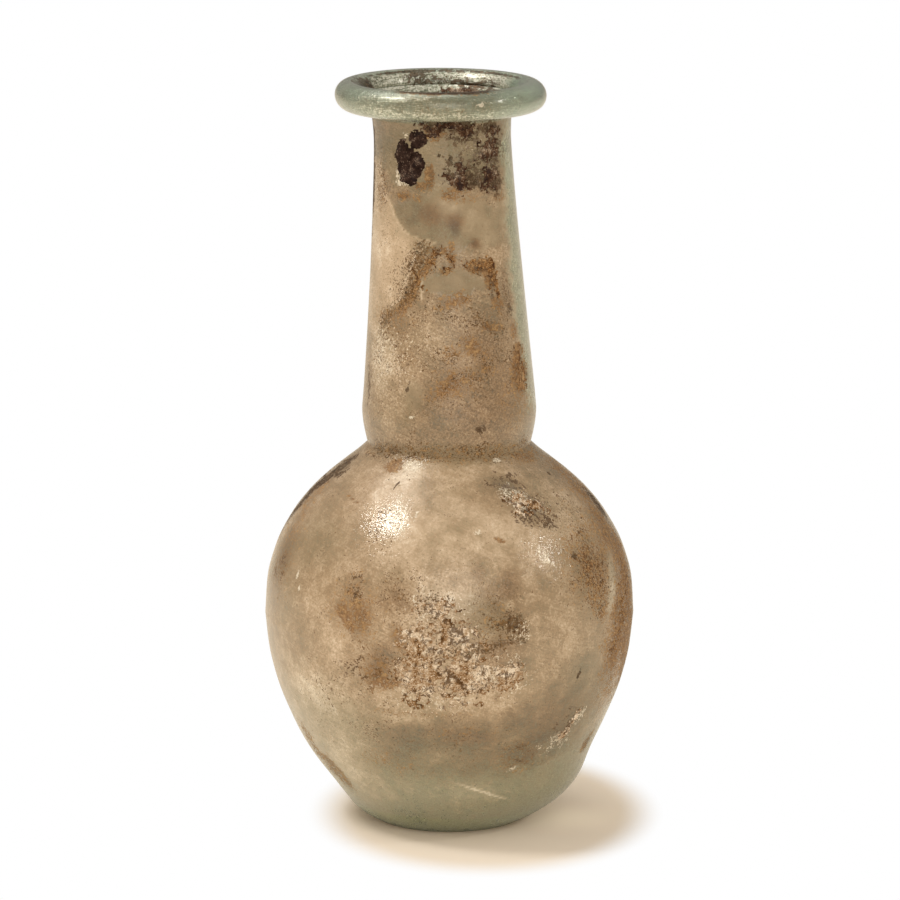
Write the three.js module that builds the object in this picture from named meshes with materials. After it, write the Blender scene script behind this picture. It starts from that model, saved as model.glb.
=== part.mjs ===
// An ancient free-blown glass flask: a rounded body on a small kicked base, a tall neck that swells above
// a pinched crease and tapers upwards, and a mouth whose edge is folded over into a round roll. Burial crust
// clings to it. Millimetres, +Z up. The origin is the middle of the ring that the flask rests on, and -Y is
// the flask's front.
import * as THREE from "three";

// Heights of the stretches of the outline, each on top of the one before, from the resting surface up
const widestHeight = 38;
const shoulderRise = 31;
const bulgeRise = 6.5;
const neckTaperRise = 48.5;
const flareRise = 4.6;
const rollStandOff = 0.7;
const heelHeight = 4;

// Outer radii of the outline
const restingRadius = 13.5;
const bodyRadius = 33.3;
const creaseRadius = 14.6;
const bulgeSwell = 1;
const neckTopRadius = 12.26;
const neckFlare = 0.25;

// The roll of the mouth: its section's radius, and how far it stands out from the neck's top
const rollRadius = 2.6;
const rollSetOut = 1.17;

// Walls
const bodyWall = 1.3;
const neckWall = 1.4;
const foldWall = 1.05;
const floorThickness = 2.3;

// The pushed-in base and the scar that the working rod left on it
const restingWidth = 3.1;
const kickHeight = 3.6;
const scarRadius = 5.2;
const scarWidth = 2.2;
const scarHeight = 0.7;

// How far hand work moved the glass sideways
const mouthLean = 1.65;
const leanStart = 9;
const heelSwell = 1.1;
const heelSwellHeight = 7;
const heelSwellReach = 5;

// A crust's greatest thickness, and what is left of it at its edge
const crustThickness = 0.6;
const crustEdge = 0.22;

// Clearances, and the step over which a slope is measured
const seatClearance = 0.3;
const foldCrevice = 0.35;
const facetAllowance = 0.08;
const slopeStep = 0.5;

// Mesh fineness
const sides = 48;
const scarSides = 24;
const crustSpokes = 24;
const crustRings = 3;

// The lower body: shares of the height up to the widest ring, and of the growth in radius up to it
const lowerBodyShares = [
  [0, 0],
  [0.04, 0.14],
  [0.105, 0.295],
  [0.21, 0.46],
  [0.342, 0.605],
  [0.5, 0.755],
  [0.684, 0.895],
  [0.842, 0.967],
  [1, 1],
];
// The shoulder: shares of the height from the widest ring to the crease, and of the radius still to be lost
const shoulderShares = [
  [0, 1],
  [0.194, 0.979],
  [0.387, 0.894],
  [0.581, 0.725],
  [0.71, 0.556],
  [0.806, 0.39],
  [0.887, 0.225],
  [0.942, 0.108],
  [1, 0],
];

// Ring heights of each wall, as shares of that wall's height
const bodyRingShares = [0, 0.06, 0.14, 0.23, 0.33, 0.43, 0.52, 0.61, 0.7, 0.78, 0.85, 0.91, 0.96, 1];
const neckRingShares = [0, 0.05, 0.11, 0.2, 0.36, 0.54, 0.72, 0.86, 0.925, 0.965, 1];

// How the taper and the lean gather along the neck, and how ragged a crust's edge is
const neckTaperPower = 1.26;
const leanPower = 1.35;
const raggednessShare = 0.28;

const creaseHeight = widestHeight + shoulderRise;
const bulgeHeight = creaseHeight + bulgeRise;
const flareHeight = bulgeHeight + neckTaperRise;
const neckTopHeight = flareHeight + flareRise;
const rollMiddleHeight = neckTopHeight + rollStandOff + rollRadius;
const totalHeight = rollMiddleHeight + rollRadius;
const leanHeight = creaseHeight + leanStart;

const bulgeRadius = creaseRadius + bulgeSwell;
const kickRadius = restingRadius - restingWidth;
const rollMiddleRadius = neckTopRadius + neckFlare + rollSetOut + rollRadius;
const channelRadius = rollRadius - foldWall;
const crestRadius = rollMiddleRadius - rollRadius - foldCrevice;

const dull = { roughness: 0.85, metalness: 0 };
const materials = {
  clearGlass: new THREE.MeshStandardMaterial({
    color: 0xb4c6ae,
    roughness: 0.15,
    metalness: 0,
    transparent: true,
    opacity: 0.55,
  }),
  filmedGlass: new THREE.MeshStandardMaterial({
    color: 0xbba787,
    roughness: 0.45,
    metalness: 0,
    transparent: true,
    opacity: 0.85,
  }),
  darkCrust: new THREE.MeshStandardMaterial({ color: 0x4a362c, ...dull }),
  rustCrust: new THREE.MeshStandardMaterial({ color: 0x8d5f36, ...dull }),
  limeCrust: new THREE.MeshStandardMaterial({ color: 0xc3aa8a, ...dull }),
};

const flask = new THREE.Group();
flask.name = "glass_flask";

/** Joins the points of a table by a smooth curve that never overshoots, and returns it as a function. */
function smoothTable(table) {
  const slopes = table.slice(1).map(([x, y], i) => (y - table[i][1]) / (x - table[i][0]));
  const tangents = table.map((_, i) => {
    if (i === 0) return slopes[0];
    if (i === slopes.length) return slopes[i - 1];
    const [before, after] = [slopes[i - 1], slopes[i]];
    return before * after <= 0 ? 0 : (2 * before * after) / (before + after);
  });
  return (x) => {
    let i = 0;
    while (i < table.length - 2 && x > table[i + 1][0]) i += 1;
    const span = table[i + 1][0] - table[i][0];
    const t = (x - table[i][0]) / span;
    const [y0, y1] = [table[i][1], table[i + 1][1]];
    const [m0, m1] = [tangents[i] * span, tangents[i + 1] * span];
    return (
      (2 * t ** 3 - 3 * t ** 2 + 1) * y0 +
      (t ** 3 - 2 * t ** 2 + t) * m0 +
      (3 * t ** 2 - 2 * t ** 3) * y1 +
      (t ** 3 - t ** 2) * m1
    );
  };
}

const lowerBody = smoothTable(lowerBodyShares);
const shoulder = smoothTable(shoulderShares);

/** The outer radius of the blown wall at a height. */
function outerRadius(height) {
  if (height <= widestHeight) {
    return restingRadius + (bodyRadius - restingRadius) * lowerBody(height / widestHeight);
  }
  if (height <= creaseHeight) {
    return creaseRadius + (bodyRadius - creaseRadius) * shoulder((height - widestHeight) / shoulderRise);
  }
  if (height <= bulgeHeight) {
    return creaseRadius + bulgeSwell * Math.sin(((height - creaseHeight) / bulgeRise) * (Math.PI / 2));
  }
  const tapered = Math.min(1, (height - bulgeHeight) / neckTaperRise);
  const flaring = Math.max(0, (height - flareHeight) / flareRise);
  const taper = (bulgeRadius - neckTopRadius) * (1 - tapered) ** neckTaperPower;
  return neckTopRadius + taper + neckFlare * flaring * flaring;
}

/** The inner radius at a height, so that the wall is as thick as it should be square to its slope. */
function innerRadius(height, wall) {
  const low = Math.max(0, height - slopeStep);
  const high = Math.min(neckTopHeight, height + slopeStep);
  const slope = (outerRadius(high) - outerRadius(low)) / (high - low);
  return outerRadius(height) - wall * Math.hypot(1, slope);
}

/** How far the flask's middle lies from the axis at a height: the heel swells right, the neck leans left. */
function sideways(height) {
  const fromHeel = (height - heelSwellHeight) / heelSwellReach;
  const swell = heelSwell * Math.exp(-fromHeel * fromHeel) * Math.min(1, height / heelHeight);
  const leaning = Math.max(0, (height - leanHeight) / (totalHeight - leanHeight));
  return swell - mouthLean * leaning ** leanPower;
}

/** Moves every point of a geometry sideways, as the hand-blown outline asks. */
function shiftByHand(geometry) {
  const places = geometry.attributes.position;
  for (let i = 0; i < places.count; i += 1) {
    places.setX(i, places.getX(i) + sideways(places.getZ(i)));
  }
  geometry.computeVertexNormals();
  return geometry;
}

/** A solid of revolution about Z from [radius, height] points that close on themselves or end on the axis. */
function turned(points, around = sides) {
  const outline = points.map(([radius, height]) => new THREE.Vector2(radius, height));
  return shiftByHand(new THREE.LatheGeometry(outline, around).rotateX(Math.PI / 2));
}

/** Adds a named piece to the flask. */
function addPiece(name, geometry, material) {
  const piece = new THREE.Mesh(geometry, material);
  piece.name = name;
  flask.add(piece);
}

/** The heights of a wall's rings between two heights. */
function ringHeights(low, high, shares) {
  return shares.map((share) => low + (high - low) * share);
}

/** A tubular length of the blown wall, with flat ends that meet the next lengths. */
function wallSection(low, high, shares, wall) {
  const heights = ringHeights(low, high, shares);
  const outside = heights.map((height) => [outerRadius(height), height]);
  const inside = heights.map((height) => [innerRadius(height, wall), height]).reverse();
  return turned([...outside, ...inside, outside[0]]);
}

/** The height of the base's underside at a radius: a low dome inside the resting ring. */
function kick(radius) {
  const share = Math.min(1, radius / kickRadius);
  return (kickHeight * (1 + Math.cos(share * Math.PI))) / 2;
}

/** The base: a kicked floor with a flat resting ring and a heel that turns up to the body. */
function baseGeometry() {
  const kickShares = [0, 0.25, 0.5, 0.75, 1];
  const heelShares = [0, 0.2, 0.5, 1];
  const floorShares = [1, 0.88, 0.72, 0.5, 0.25, 0];
  const cornerRadius = innerRadius(heelHeight, bodyWall);
  const underside = kickShares.map((share) => [kickRadius * share, kick(kickRadius * share)]);
  const heel = ringHeights(0, heelHeight, heelShares).map((height) => [outerRadius(height), height]);
  const floor = floorShares.map((share) => {
    const radius = cornerRadius * share;
    const rise = (heelHeight - floorThickness) * share ** 8;
    return [radius, kick(radius) + floorThickness + rise];
  });
  return turned([...underside, ...heel, ...floor]);
}

/** The rough ring of glass that the working rod left when it was cracked off the base. */
function scarGeometry() {
  const [inner, outer] = [scarRadius - scarWidth / 2, scarRadius + scarWidth / 2];
  const top = (radius) => kick(radius) - seatClearance;
  const points = [
    [inner, top(inner)],
    [scarRadius, top(scarRadius) - scarHeight],
    [outer, top(outer) - scarHeight / 3],
    [outer, top(outer)],
    [scarRadius, top(scarRadius)],
  ];
  return turned([...points, points[0]], scarSides);
}

/** Points of the roll's section at a distance from its middle, between two angles in degrees from outwards. */
function rollArc(distance, from, to, steps) {
  return Array.from({ length: steps + 1 }, (_, i) => {
    const angle = THREE.MathUtils.degToRad(from + ((to - from) * i) / steps);
    return [rollMiddleRadius + distance * Math.cos(angle), rollMiddleHeight + distance * Math.sin(angle)];
  });
}

const neckTopInner = innerRadius(neckTopHeight, neckWall);
const neckTopOuter = outerRadius(neckTopHeight);

// The bore through the flare, from the neck's top up to the crest that the fold's edge stops short of
const mouthBore = [
  [neckTopInner, neckTopHeight],
  [neckTopInner + foldWall / 2, neckTopHeight + foldWall],
  [crestRadius - foldWall, rollMiddleHeight - foldWall],
  [crestRadius, rollMiddleHeight],
];

/** The radius of the bore at a height, up through the neck and the flare. */
function boreRadius(height) {
  if (height <= neckTopHeight) return innerRadius(height, neckWall);
  const above = Math.max(1, mouthBore.findIndex(([, level]) => level >= height));
  const [[lowRadius, low], [highRadius, high]] = [mouthBore[above - 1], mouthBore[above]];
  return lowRadius + ((highRadius - lowRadius) * (height - low)) / (high - low);
}

/** The flare: the neck's wall turning outwards under the roll, up to the roll's outermost line. */
function flareGeometry() {
  const neckTop = [mouthBore[0], [neckTopOuter, neckTopHeight]];
  const bend = [neckTopOuter + foldWall / 3, neckTopHeight + foldWall / 2];
  const underRoll = rollArc(rollRadius, -128, 0, 6);
  const overRoll = rollArc(channelRadius, 0, -170, 6);
  const insideBore = mouthBore.slice(1).reverse();
  return turned([...neckTop, bend, ...underRoll, ...overRoll, ...insideBore, neckTop[0]]);
}

/** The fold: the wall turning back over the roll and down into the mouth, stopping short of the flare. */
function foldGeometry() {
  const outside = rollArc(rollRadius, 0, 172, 9);
  const inside = rollArc(channelRadius, 172, 0, 9);
  return turned([...outside, ...inside, outside[0]]);
}

/** The uneven outline of a crust, as a share of its half size in each direction. */
function crustOutline(angle, turn) {
  const slow = Math.sin(3 * angle + turn) / 2;
  const quick = Math.sin(5 * angle + 2 * turn) / 3 + Math.sin(8 * angle - turn) / 5;
  return 1 + raggednessShare * (slow + quick);
}

/** A point of a crust at an angle around the flask and a height, lifted off the wall that it lies on. */
function crustPoint(angle, height, lift, inBore) {
  const radius = inBore
    ? boreRadius(height) - facetAllowance - seatClearance - lift
    : outerRadius(height) + seatClearance + lift;
  return [radius * Math.sin(angle), -radius * Math.cos(angle), height];
}

/** The triangles that close a crust's two faces and its edge, from the index of each face's middle and rings. */
function crustFaces() {
  const perFace = 1 + crustRings * crustSpokes;
  const index = (face, ring, spoke) =>
    face * perFace + (ring === 0 ? 0 : 1 + (ring - 1) * crustSpokes + (spoke % crustSpokes));
  const faces = [];
  for (let spoke = 0; spoke < crustSpokes; spoke += 1) {
    for (const face of [0, 1]) {
      const facing = ([a, b, c]) => faces.push(...(face === 0 ? [a, c, b] : [a, b, c]));
      facing([index(face, 0, 0), index(face, 1, spoke), index(face, 1, spoke + 1)]);
      for (let ring = 1; ring < crustRings; ring += 1) {
        const [near, nearNext] = [index(face, ring, spoke), index(face, ring, spoke + 1)];
        const [far, farNext] = [index(face, ring + 1, spoke), index(face, ring + 1, spoke + 1)];
        facing([near, far, farNext]);
        facing([near, farNext, nearNext]);
      }
    }
    const [low, lowNext] = [index(0, crustRings, spoke), index(0, crustRings, spoke + 1)];
    const [high, highNext] = [index(1, crustRings, spoke), index(1, crustRings, spoke + 1)];
    faces.push(low, lowNext, highNext, low, highNext, high);
  }
  return faces;
}

/**
 * A thin crust that follows the wall, on its outside or in its bore. Azimuth 0 is the flask's front and
 * azimuths grow towards +X. The crust spreads over so many degrees, at a share of the height of the stretch of
 * wall that it lies on.
 */
function crustGeometry({ on: [low, high], azimuth, spread, upShare, tallShare, turn, inBore = false }) {
  const middle = THREE.MathUtils.degToRad(azimuth);
  const halfSpread = THREE.MathUtils.degToRad(spread) / 2;
  const height = low + (high - low) * upShare;
  const halfTall = ((high - low) * tallShare) / 2;
  const places = [];
  for (const face of [0, 1]) {
    places.push(...crustPoint(middle, height, face * crustThickness, inBore));
    for (let ring = 1; ring <= crustRings; ring += 1) {
      const share = ring / crustRings;
      const lift = face * (crustEdge + (crustThickness - crustEdge) * (1 - share * share));
      for (let spoke = 0; spoke < crustSpokes; spoke += 1) {
        const round = (2 * Math.PI * spoke) / crustSpokes;
        const reach = share * crustOutline(round, turn);
        const across = middle + halfSpread * reach * Math.cos(round);
        places.push(...crustPoint(across, height + halfTall * reach * Math.sin(round), lift, inBore));
      }
    }
  }
  const faces = crustFaces();
  const geometry = new THREE.BufferGeometry();
  geometry.setAttribute("position", new THREE.Float32BufferAttribute(places, 3));
  geometry.setIndex(inBore ? faces.reverse() : faces);
  return shiftByHand(geometry);
}

const { darkCrust, rustCrust, limeCrust } = materials;
const onNeck = { on: [creaseHeight, neckTopHeight] };
const onBody = { on: [heelHeight, creaseHeight] };
const inMouth = { on: [neckTopHeight, rollMiddleHeight], inBore: true };

const darkCrusts = {
  neck_crust_left: { ...onNeck, azimuth: -28, spread: 28, upShare: 0.893, tallShare: 0.141, turn: 0.6 },
  neck_crust_right: { ...onNeck, azimuth: 30, spread: 69, upShare: 0.882, tallShare: 0.184, turn: 2.1 },
  mouth_crust: { ...inMouth, azimuth: 133, spread: 43, upShare: 0.55, tallShare: 0.56, turn: 4.2 },
};
const rustCrusts = {
  neck_rust_left: { ...onNeck, azimuth: -19, spread: 40, upShare: 0.562, tallShare: 0.128, turn: 1.7 },
  neck_rust_right: { ...onNeck, azimuth: 30, spread: 30, upShare: 0.522, tallShare: 0.107, turn: 5.2 },
  neck_rust_low: { ...onNeck, azimuth: 60, spread: 25, upShare: 0.235, tallShare: 0.144, turn: 3.4 },
  flank_rust: { ...onBody, azimuth: 64, spread: 18, upShare: 0.532, tallShare: 0.354, turn: 2.6 },
};
const limeCrusts = {
  shoulder_crust: { ...onBody, azimuth: 31, spread: 31, upShare: 0.892, tallShare: 0.092, turn: 1.3 },
  belly_crust: { ...onBody, azimuth: 1, spread: 47, upShare: 0.477, tallShare: 0.292, turn: 3.1 },
  heel_crust: { ...onBody, azimuth: 47, spread: 16.5, upShare: 0.271, tallShare: 0.095, turn: 0.2 },
};

/** Adds the crusts of one kind. */
function addCrusts(crusts, material) {
  for (const [name, crust] of Object.entries(crusts)) {
    addPiece(name, crustGeometry(crust), material);
  }
}

const { clearGlass, filmedGlass } = materials;
addPiece("base", baseGeometry(), clearGlass);
addPiece("pontil_scar", scarGeometry(), clearGlass);
addPiece("body_wall", wallSection(heelHeight, creaseHeight, bodyRingShares, bodyWall), filmedGlass);
addPiece("neck_wall", wallSection(creaseHeight, neckTopHeight, neckRingShares, neckWall), filmedGlass);
addPiece("mouth_flare", flareGeometry(), clearGlass);
addPiece("folded_rim", foldGeometry(), clearGlass);
addCrusts(darkCrusts, darkCrust);
addCrusts(rustCrusts, rustCrust);
addCrusts(limeCrusts, limeCrust);

export default flask;
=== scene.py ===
"""The looks of an ancient free-blown glass flask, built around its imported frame.

The glass is one gather worked hot, so its pieces share one outline and meet at faces that light passes
straight through. A weathering film, stains and burial crust lie on it. Sizes are in millimetres until a mesh
is made. The origin is the middle of the ring that the flask rests on, +Z is up, and azimuth 0 is the flask's
front, -Y, with azimuths growing towards +X.
"""

import logging
import math
from dataclasses import dataclass, field
from enum import Enum
from functools import partial, reduce
from typing import Optional, Sequence, Union

import bpy
import numpy as np
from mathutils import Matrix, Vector, noise


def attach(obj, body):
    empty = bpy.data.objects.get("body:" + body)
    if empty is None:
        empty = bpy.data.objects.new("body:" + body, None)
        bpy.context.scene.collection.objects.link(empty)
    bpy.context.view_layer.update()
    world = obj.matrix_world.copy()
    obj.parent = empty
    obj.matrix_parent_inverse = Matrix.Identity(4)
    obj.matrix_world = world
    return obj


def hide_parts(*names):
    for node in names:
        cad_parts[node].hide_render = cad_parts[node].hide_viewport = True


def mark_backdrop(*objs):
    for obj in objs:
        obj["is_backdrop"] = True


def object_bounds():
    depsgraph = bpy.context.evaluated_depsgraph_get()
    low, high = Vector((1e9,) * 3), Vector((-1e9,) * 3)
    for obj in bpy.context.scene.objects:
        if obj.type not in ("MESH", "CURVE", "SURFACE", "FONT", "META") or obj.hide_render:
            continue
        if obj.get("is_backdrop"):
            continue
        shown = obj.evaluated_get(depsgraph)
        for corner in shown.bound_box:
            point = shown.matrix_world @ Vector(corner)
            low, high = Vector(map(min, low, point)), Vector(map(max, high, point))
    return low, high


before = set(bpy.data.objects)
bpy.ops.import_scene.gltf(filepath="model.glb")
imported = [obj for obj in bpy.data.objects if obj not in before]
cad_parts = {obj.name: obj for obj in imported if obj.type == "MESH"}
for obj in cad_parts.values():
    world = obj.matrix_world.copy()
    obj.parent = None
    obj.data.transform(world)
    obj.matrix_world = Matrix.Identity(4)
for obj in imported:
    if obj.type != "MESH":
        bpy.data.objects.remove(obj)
cad_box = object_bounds()

log = logging.getLogger("flask")
MM = 0.001

Array = np.ndarray
Limits = tuple[float, float]
Triple = tuple[float, float, float]
Colour = Triple
Ramp = tuple[tuple[float, float, float, float], ...]
Socket = bpy.types.NodeSocket
Feed = Union[float, Socket]


def smoothstep(low: float, high: float, value: Array) -> Array:
    """Rises smoothly from 0 at low to 1 at high, for each value."""
    share = np.clip((value - low) / (high - low), 0.0, 1.0)
    return share * share * (3.0 - 2.0 * share)


def rough_field(points: Array, grain: float, octaves: int = 3, seed: float = 0.0) -> Array:
    """Fractal noise of about -1 to 1 at points in millimetres, its largest lumps a grain across."""
    shifted = points / grain + seed
    return np.array([noise.fractal(Vector(p), 1.0, 2.1, octaves) for p in shifted])


def around(azimuth: Array, radius: Array, height: Array) -> Array:
    """Points about the axis, one x, y, z row for each, from azimuths in radians."""
    return np.stack([radius * np.sin(azimuth), -radius * np.cos(azimuth), height], -1)


class SmoothCurve:
    """A curve through given points that never overshoots them."""

    def __init__(self, points: Sequence[tuple[float, float]]) -> None:
        """Works out the curve's slope at each point.

        Args:
            points: (x, y) pairs in growing x.
        """
        self.x, self.y = (np.array(column, float) for column in zip(*points))
        slopes = np.diff(self.y) / np.diff(self.x)
        before, after = slopes[:-1], slopes[1:]
        total = np.where(before + after == 0, 1.0, before + after)
        inner = np.where(before * after <= 0, 0.0, 2.0 * before * after / total)
        self.tangents = np.concatenate([slopes[:1], inner, slopes[-1:]])

    def __call__(self, x: Array) -> Array:
        """Looks the curve up.

        Args:
            x: where.

        Returns:
            The curve's y at each x.
        """
        i = np.clip(np.searchsorted(self.x, x, side="left") - 1, 0, len(self.x) - 2)
        span = self.x[i + 1] - self.x[i]
        t = (x - self.x[i]) / span
        return (
            (2 * t**3 - 3 * t**2 + 1) * self.y[i]
            + (t**3 - 2 * t**2 + t) * self.tangents[i] * span
            + (3 * t**2 - 2 * t**3) * self.y[i + 1]
            + (t**3 - t**2) * self.tangents[i + 1] * span
        )


LOWER_BODY_SHARES = SmoothCurve(
    [
        (0, 0), (0.04, 0.14), (0.105, 0.295), (0.21, 0.46), (0.342, 0.605), (0.5, 0.755), (0.684, 0.895),
        (0.842, 0.967), (1, 1),
    ]
)
SHOULDER_SHARES = SmoothCurve(
    [
        (0, 1), (0.194, 0.979), (0.387, 0.894), (0.581, 0.725), (0.71, 0.556), (0.806, 0.39), (0.887, 0.225),
        (0.942, 0.108), (1, 0),
    ]
)


@dataclass(frozen=True)
class Outline:
    """The blown outline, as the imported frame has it, with the small unevenness that hand work leaves."""

    widest_height: float = 38.0
    shoulder_rise: float = 31.0
    bulge_rise: float = 6.5
    neck_taper_rise: float = 48.5
    flare_rise: float = 4.6
    roll_stand_off: float = 0.7
    heel_height: float = 4.0
    resting_radius: float = 13.5
    body_radius: float = 33.3
    crease_radius: float = 14.6
    bulge_swell: float = 1.0
    neck_top_radius: float = 12.26
    neck_flare: float = 0.25
    roll_radius: float = 2.6
    roll_set_out: float = 1.17
    body_wall: float = 1.3
    neck_wall: float = 1.4
    fold_wall: float = 1.05
    floor_thickness: float = 2.3
    resting_width: float = 3.1
    kick_height: float = 3.6
    mouth_lean: float = 1.65
    lean_start: float = 9.0
    heel_swell: float = 1.1
    heel_swell_height: float = 7.0
    heel_swell_reach: float = 5.0
    fold_crevice: float = 0.35
    taper_power: float = 1.26
    lean_power: float = 1.35
    slope_step: float = 0.5
    wobble: float = 0.1
    waves: tuple[tuple[float, int, float, float], ...] = (
        (1.0, 2, 21.0, 1.3), (0.6, 3, -13.0, 0.4), (0.35, 5, 6.5, 0.0), (0.25, 7, -4.2, 2.0),
    )

    @property
    def crease_height(self) -> float:
        """Height of the pinched crease between body and neck."""
        return self.widest_height + self.shoulder_rise

    @property
    def bulge_height(self) -> float:
        """Height at which the neck is fullest, just above the crease."""
        return self.crease_height + self.bulge_rise

    @property
    def flare_height(self) -> float:
        """Height at which the neck starts to widen towards the mouth."""
        return self.bulge_height + self.neck_taper_rise

    @property
    def neck_top(self) -> float:
        """Height at which the neck ends and the flare begins."""
        return self.flare_height + self.flare_rise

    @property
    def roll_height(self) -> float:
        """Height of the middle of the roll."""
        return self.neck_top + self.roll_stand_off + self.roll_radius

    @property
    def roll_middle(self) -> float:
        """Radius of the middle of the roll."""
        return self.neck_top_radius + self.neck_flare + self.roll_set_out + self.roll_radius

    @property
    def top(self) -> float:
        """The flask's full height."""
        return self.roll_height + self.roll_radius

    def outer_radius(self, height: Array) -> Array:
        """The outside of the blown wall.

        Args:
            height: above the resting surface.

        Returns:
            The radius at each height.
        """
        bulge_radius = self.crease_radius + self.bulge_swell
        growth = self.body_radius - self.resting_radius
        lower = self.resting_radius + growth * LOWER_BODY_SHARES(height / self.widest_height)
        above = (height - self.widest_height) / self.shoulder_rise
        upper = self.crease_radius + (self.body_radius - self.crease_radius) * SHOULDER_SHARES(above)
        rise = (height - self.crease_height) / self.bulge_rise
        bulge = self.crease_radius + self.bulge_swell * np.sin(rise * math.pi / 2)
        tapered = np.clip((height - self.bulge_height) / self.neck_taper_rise, 0.0, 1.0)
        flaring = np.maximum(0.0, (height - self.flare_height) / self.flare_rise)
        taper = (bulge_radius - self.neck_top_radius) * (1.0 - tapered) ** self.taper_power
        neck = self.neck_top_radius + taper + self.neck_flare * flaring * flaring
        stretches = [height <= self.widest_height, height <= self.crease_height, height <= self.bulge_height]
        return np.select(stretches, [lower, upper, bulge], neck)

    def inner_radius(self, height: Array, wall: float) -> Array:
        """The inside of the wall, which keeps its thickness square to its slope.

        Args:
            height: above the resting surface.
            wall: the wall's thickness.

        Returns:
            The radius at each height.
        """
        low = np.maximum(0.0, height - self.slope_step)
        high = np.minimum(self.neck_top, height + self.slope_step)
        slope = (self.outer_radius(high) - self.outer_radius(low)) / (high - low)
        return self.outer_radius(height) - wall * np.hypot(1.0, slope)

    def outer_at(self, height: float) -> float:
        """The outer radius at one height."""
        return float(self.outer_radius(np.array(height)))

    def inner_at(self, height: float, wall: float) -> float:
        """The inner radius at one height."""
        return float(self.inner_radius(np.array(height), wall))

    def sideways(self, height: Array) -> Array:
        """How far the middle lies off the axis: the heel swells to the right and the neck leans left.

        Args:
            height: above the resting surface.

        Returns:
            The way to the right at each height.
        """
        from_heel = (height - self.heel_swell_height) / self.heel_swell_reach
        swell = self.heel_swell * np.exp(-from_heel * from_heel) * np.minimum(1.0, height / self.heel_height)
        lean_height = self.crease_height + self.lean_start
        leaning = np.maximum(0.0, (height - lean_height) / (self.top - lean_height))
        return swell - self.mouth_lean * leaning**self.lean_power

    def unevenness(self, azimuth: Array, height: Array) -> Array:
        """How far hand work moved the wall in or out.

        Each wave has its strength, how often it goes round, its rise per radian and where it starts.

        Args:
            azimuth: in radians.
            height: above the resting surface.

        Returns:
            The way outwards at each place.
        """
        moved = 0.0
        for strength, times, rise, start in self.waves:
            moved += strength * np.sin(times * azimuth + height / rise + start)
        return self.wobble * smoothstep(0.0, self.heel_height, height) * moved / 2

    def kick(self, radius: Array) -> Array:
        """The height of the base's underside at each radius: a low dome inside the resting ring."""
        share = np.minimum(1.0, radius / (self.resting_radius - self.resting_width))
        return self.kick_height * (1.0 + np.cos(share * math.pi)) / 2

    def roll_arc(self, distance: float, start: float, end: float, steps: int) -> Array:
        """Points of the roll's section.

        Args:
            distance: from the roll's middle.
            start: first angle in degrees from outwards.
            end: last angle.
            steps: how many spans the arc has.

        Returns:
            One (radius, height) row for each point.
        """
        angle = np.radians(np.linspace(start, end, steps + 1))
        middle = (self.roll_middle, self.roll_height)
        return np.stack([np.cos(angle), np.sin(angle)], -1) * distance + middle

    def mouth_bore(self) -> Array:
        """The bore from the neck's top up to the crest under the fold's edge.

        Returns:
            One (radius, height) row for each point.
        """
        inner = self.inner_at(self.neck_top, self.neck_wall)
        crest = self.roll_middle - self.roll_radius - self.fold_crevice
        corners = [
            (inner, self.neck_top),
            (inner + self.fold_wall / 2, self.neck_top + self.fold_wall),
            (crest - self.fold_wall, self.roll_height - self.fold_wall),
            (crest, self.roll_height),
        ]
        return rounded(np.array(corners))

    def place(self, azimuth: Array, radius: Array, height: Array) -> Array:
        """Puts points of the turned form where hand work left them.

        Args:
            azimuth: in radians.
            radius: from the axis before the form leans.
            height: above the resting surface.

        Returns:
            One x, y, z row for each point, in millimetres.
        """
        reach = radius + np.where(radius > 0, self.unevenness(azimuth, height), 0.0)
        points = around(azimuth, reach, height)
        points[..., 0] += self.sideways(height)
        return points


def rounded(points: Array, rounds: int = 3) -> Array:
    """Cuts the corners of an open line again and again, and keeps its two ends.

    Args:
        points: one (radius, height) row for each.
        rounds: how many times the corners are cut.

    Returns:
        The rounded line's points.
    """
    for _ in range(rounds):
        near = points[:-1] * 0.75 + points[1:] * 0.25
        far = points[:-1] * 0.25 + points[1:] * 0.75
        cut = np.stack([near, far], 1).reshape(-1, 2)
        points = np.concatenate([points[:1], cut, points[-1:]])
    return points


OUTLINE = Outline()


class Face(Enum):
    """What a stretch of a glass piece's surface is, by its material index."""

    OUTSIDE = 0
    INSIDE = 1
    JOINT = 2
    MOUTH = 3


class Layer(Enum):
    """What a stain changes on the glass, by the name of the attribute that holds it."""

    COVER = "film_cover"
    WARMTH = "film_warmth"
    LIGHT = "film_light"
    GRAIN = "film_grain"
    RUST = "rust"
    DARK = "dark"
    # Cream flakes, and the glints and highlights that are painted in the same cream
    FLAKES = "flakes"
    OLIVE = "olive"
    PEPPER = "pepper"


COVER, WARMTH, LIGHT, GRAIN, RUST, DARK, FLAKES, OLIVE, PEPPER = Layer


@dataclass(frozen=True)
class Lobe:
    """A tilted oval on the wall: its place, its half sizes in millimetres, and its tilt.

    The azimuth and the tilt are in degrees. The tilt turns the oval's right end up.
    """

    azimuth: float
    height: float
    half_width: float
    half_height: float
    tilt: float = 0.0

    def distance(self, azimuth: Array, height: Array, radius: Array) -> Array:
        """How far places lie from the oval's middle.

        Args:
            azimuth: in radians.
            height: above the resting surface.
            radius: the wall's outer radius there.

        Returns:
            0 in the oval's middle and 1 on its edge.
        """
        turn = (azimuth - math.radians(self.azimuth) + math.pi) % (2 * math.pi) - math.pi
        right, up = turn * radius, height - self.height
        cos, sin = math.cos(math.radians(self.tilt)), math.sin(math.radians(self.tilt))
        along, across = right * cos + up * sin, up * cos - right * sin
        return np.hypot(along / self.half_width, across / self.half_height)


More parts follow.
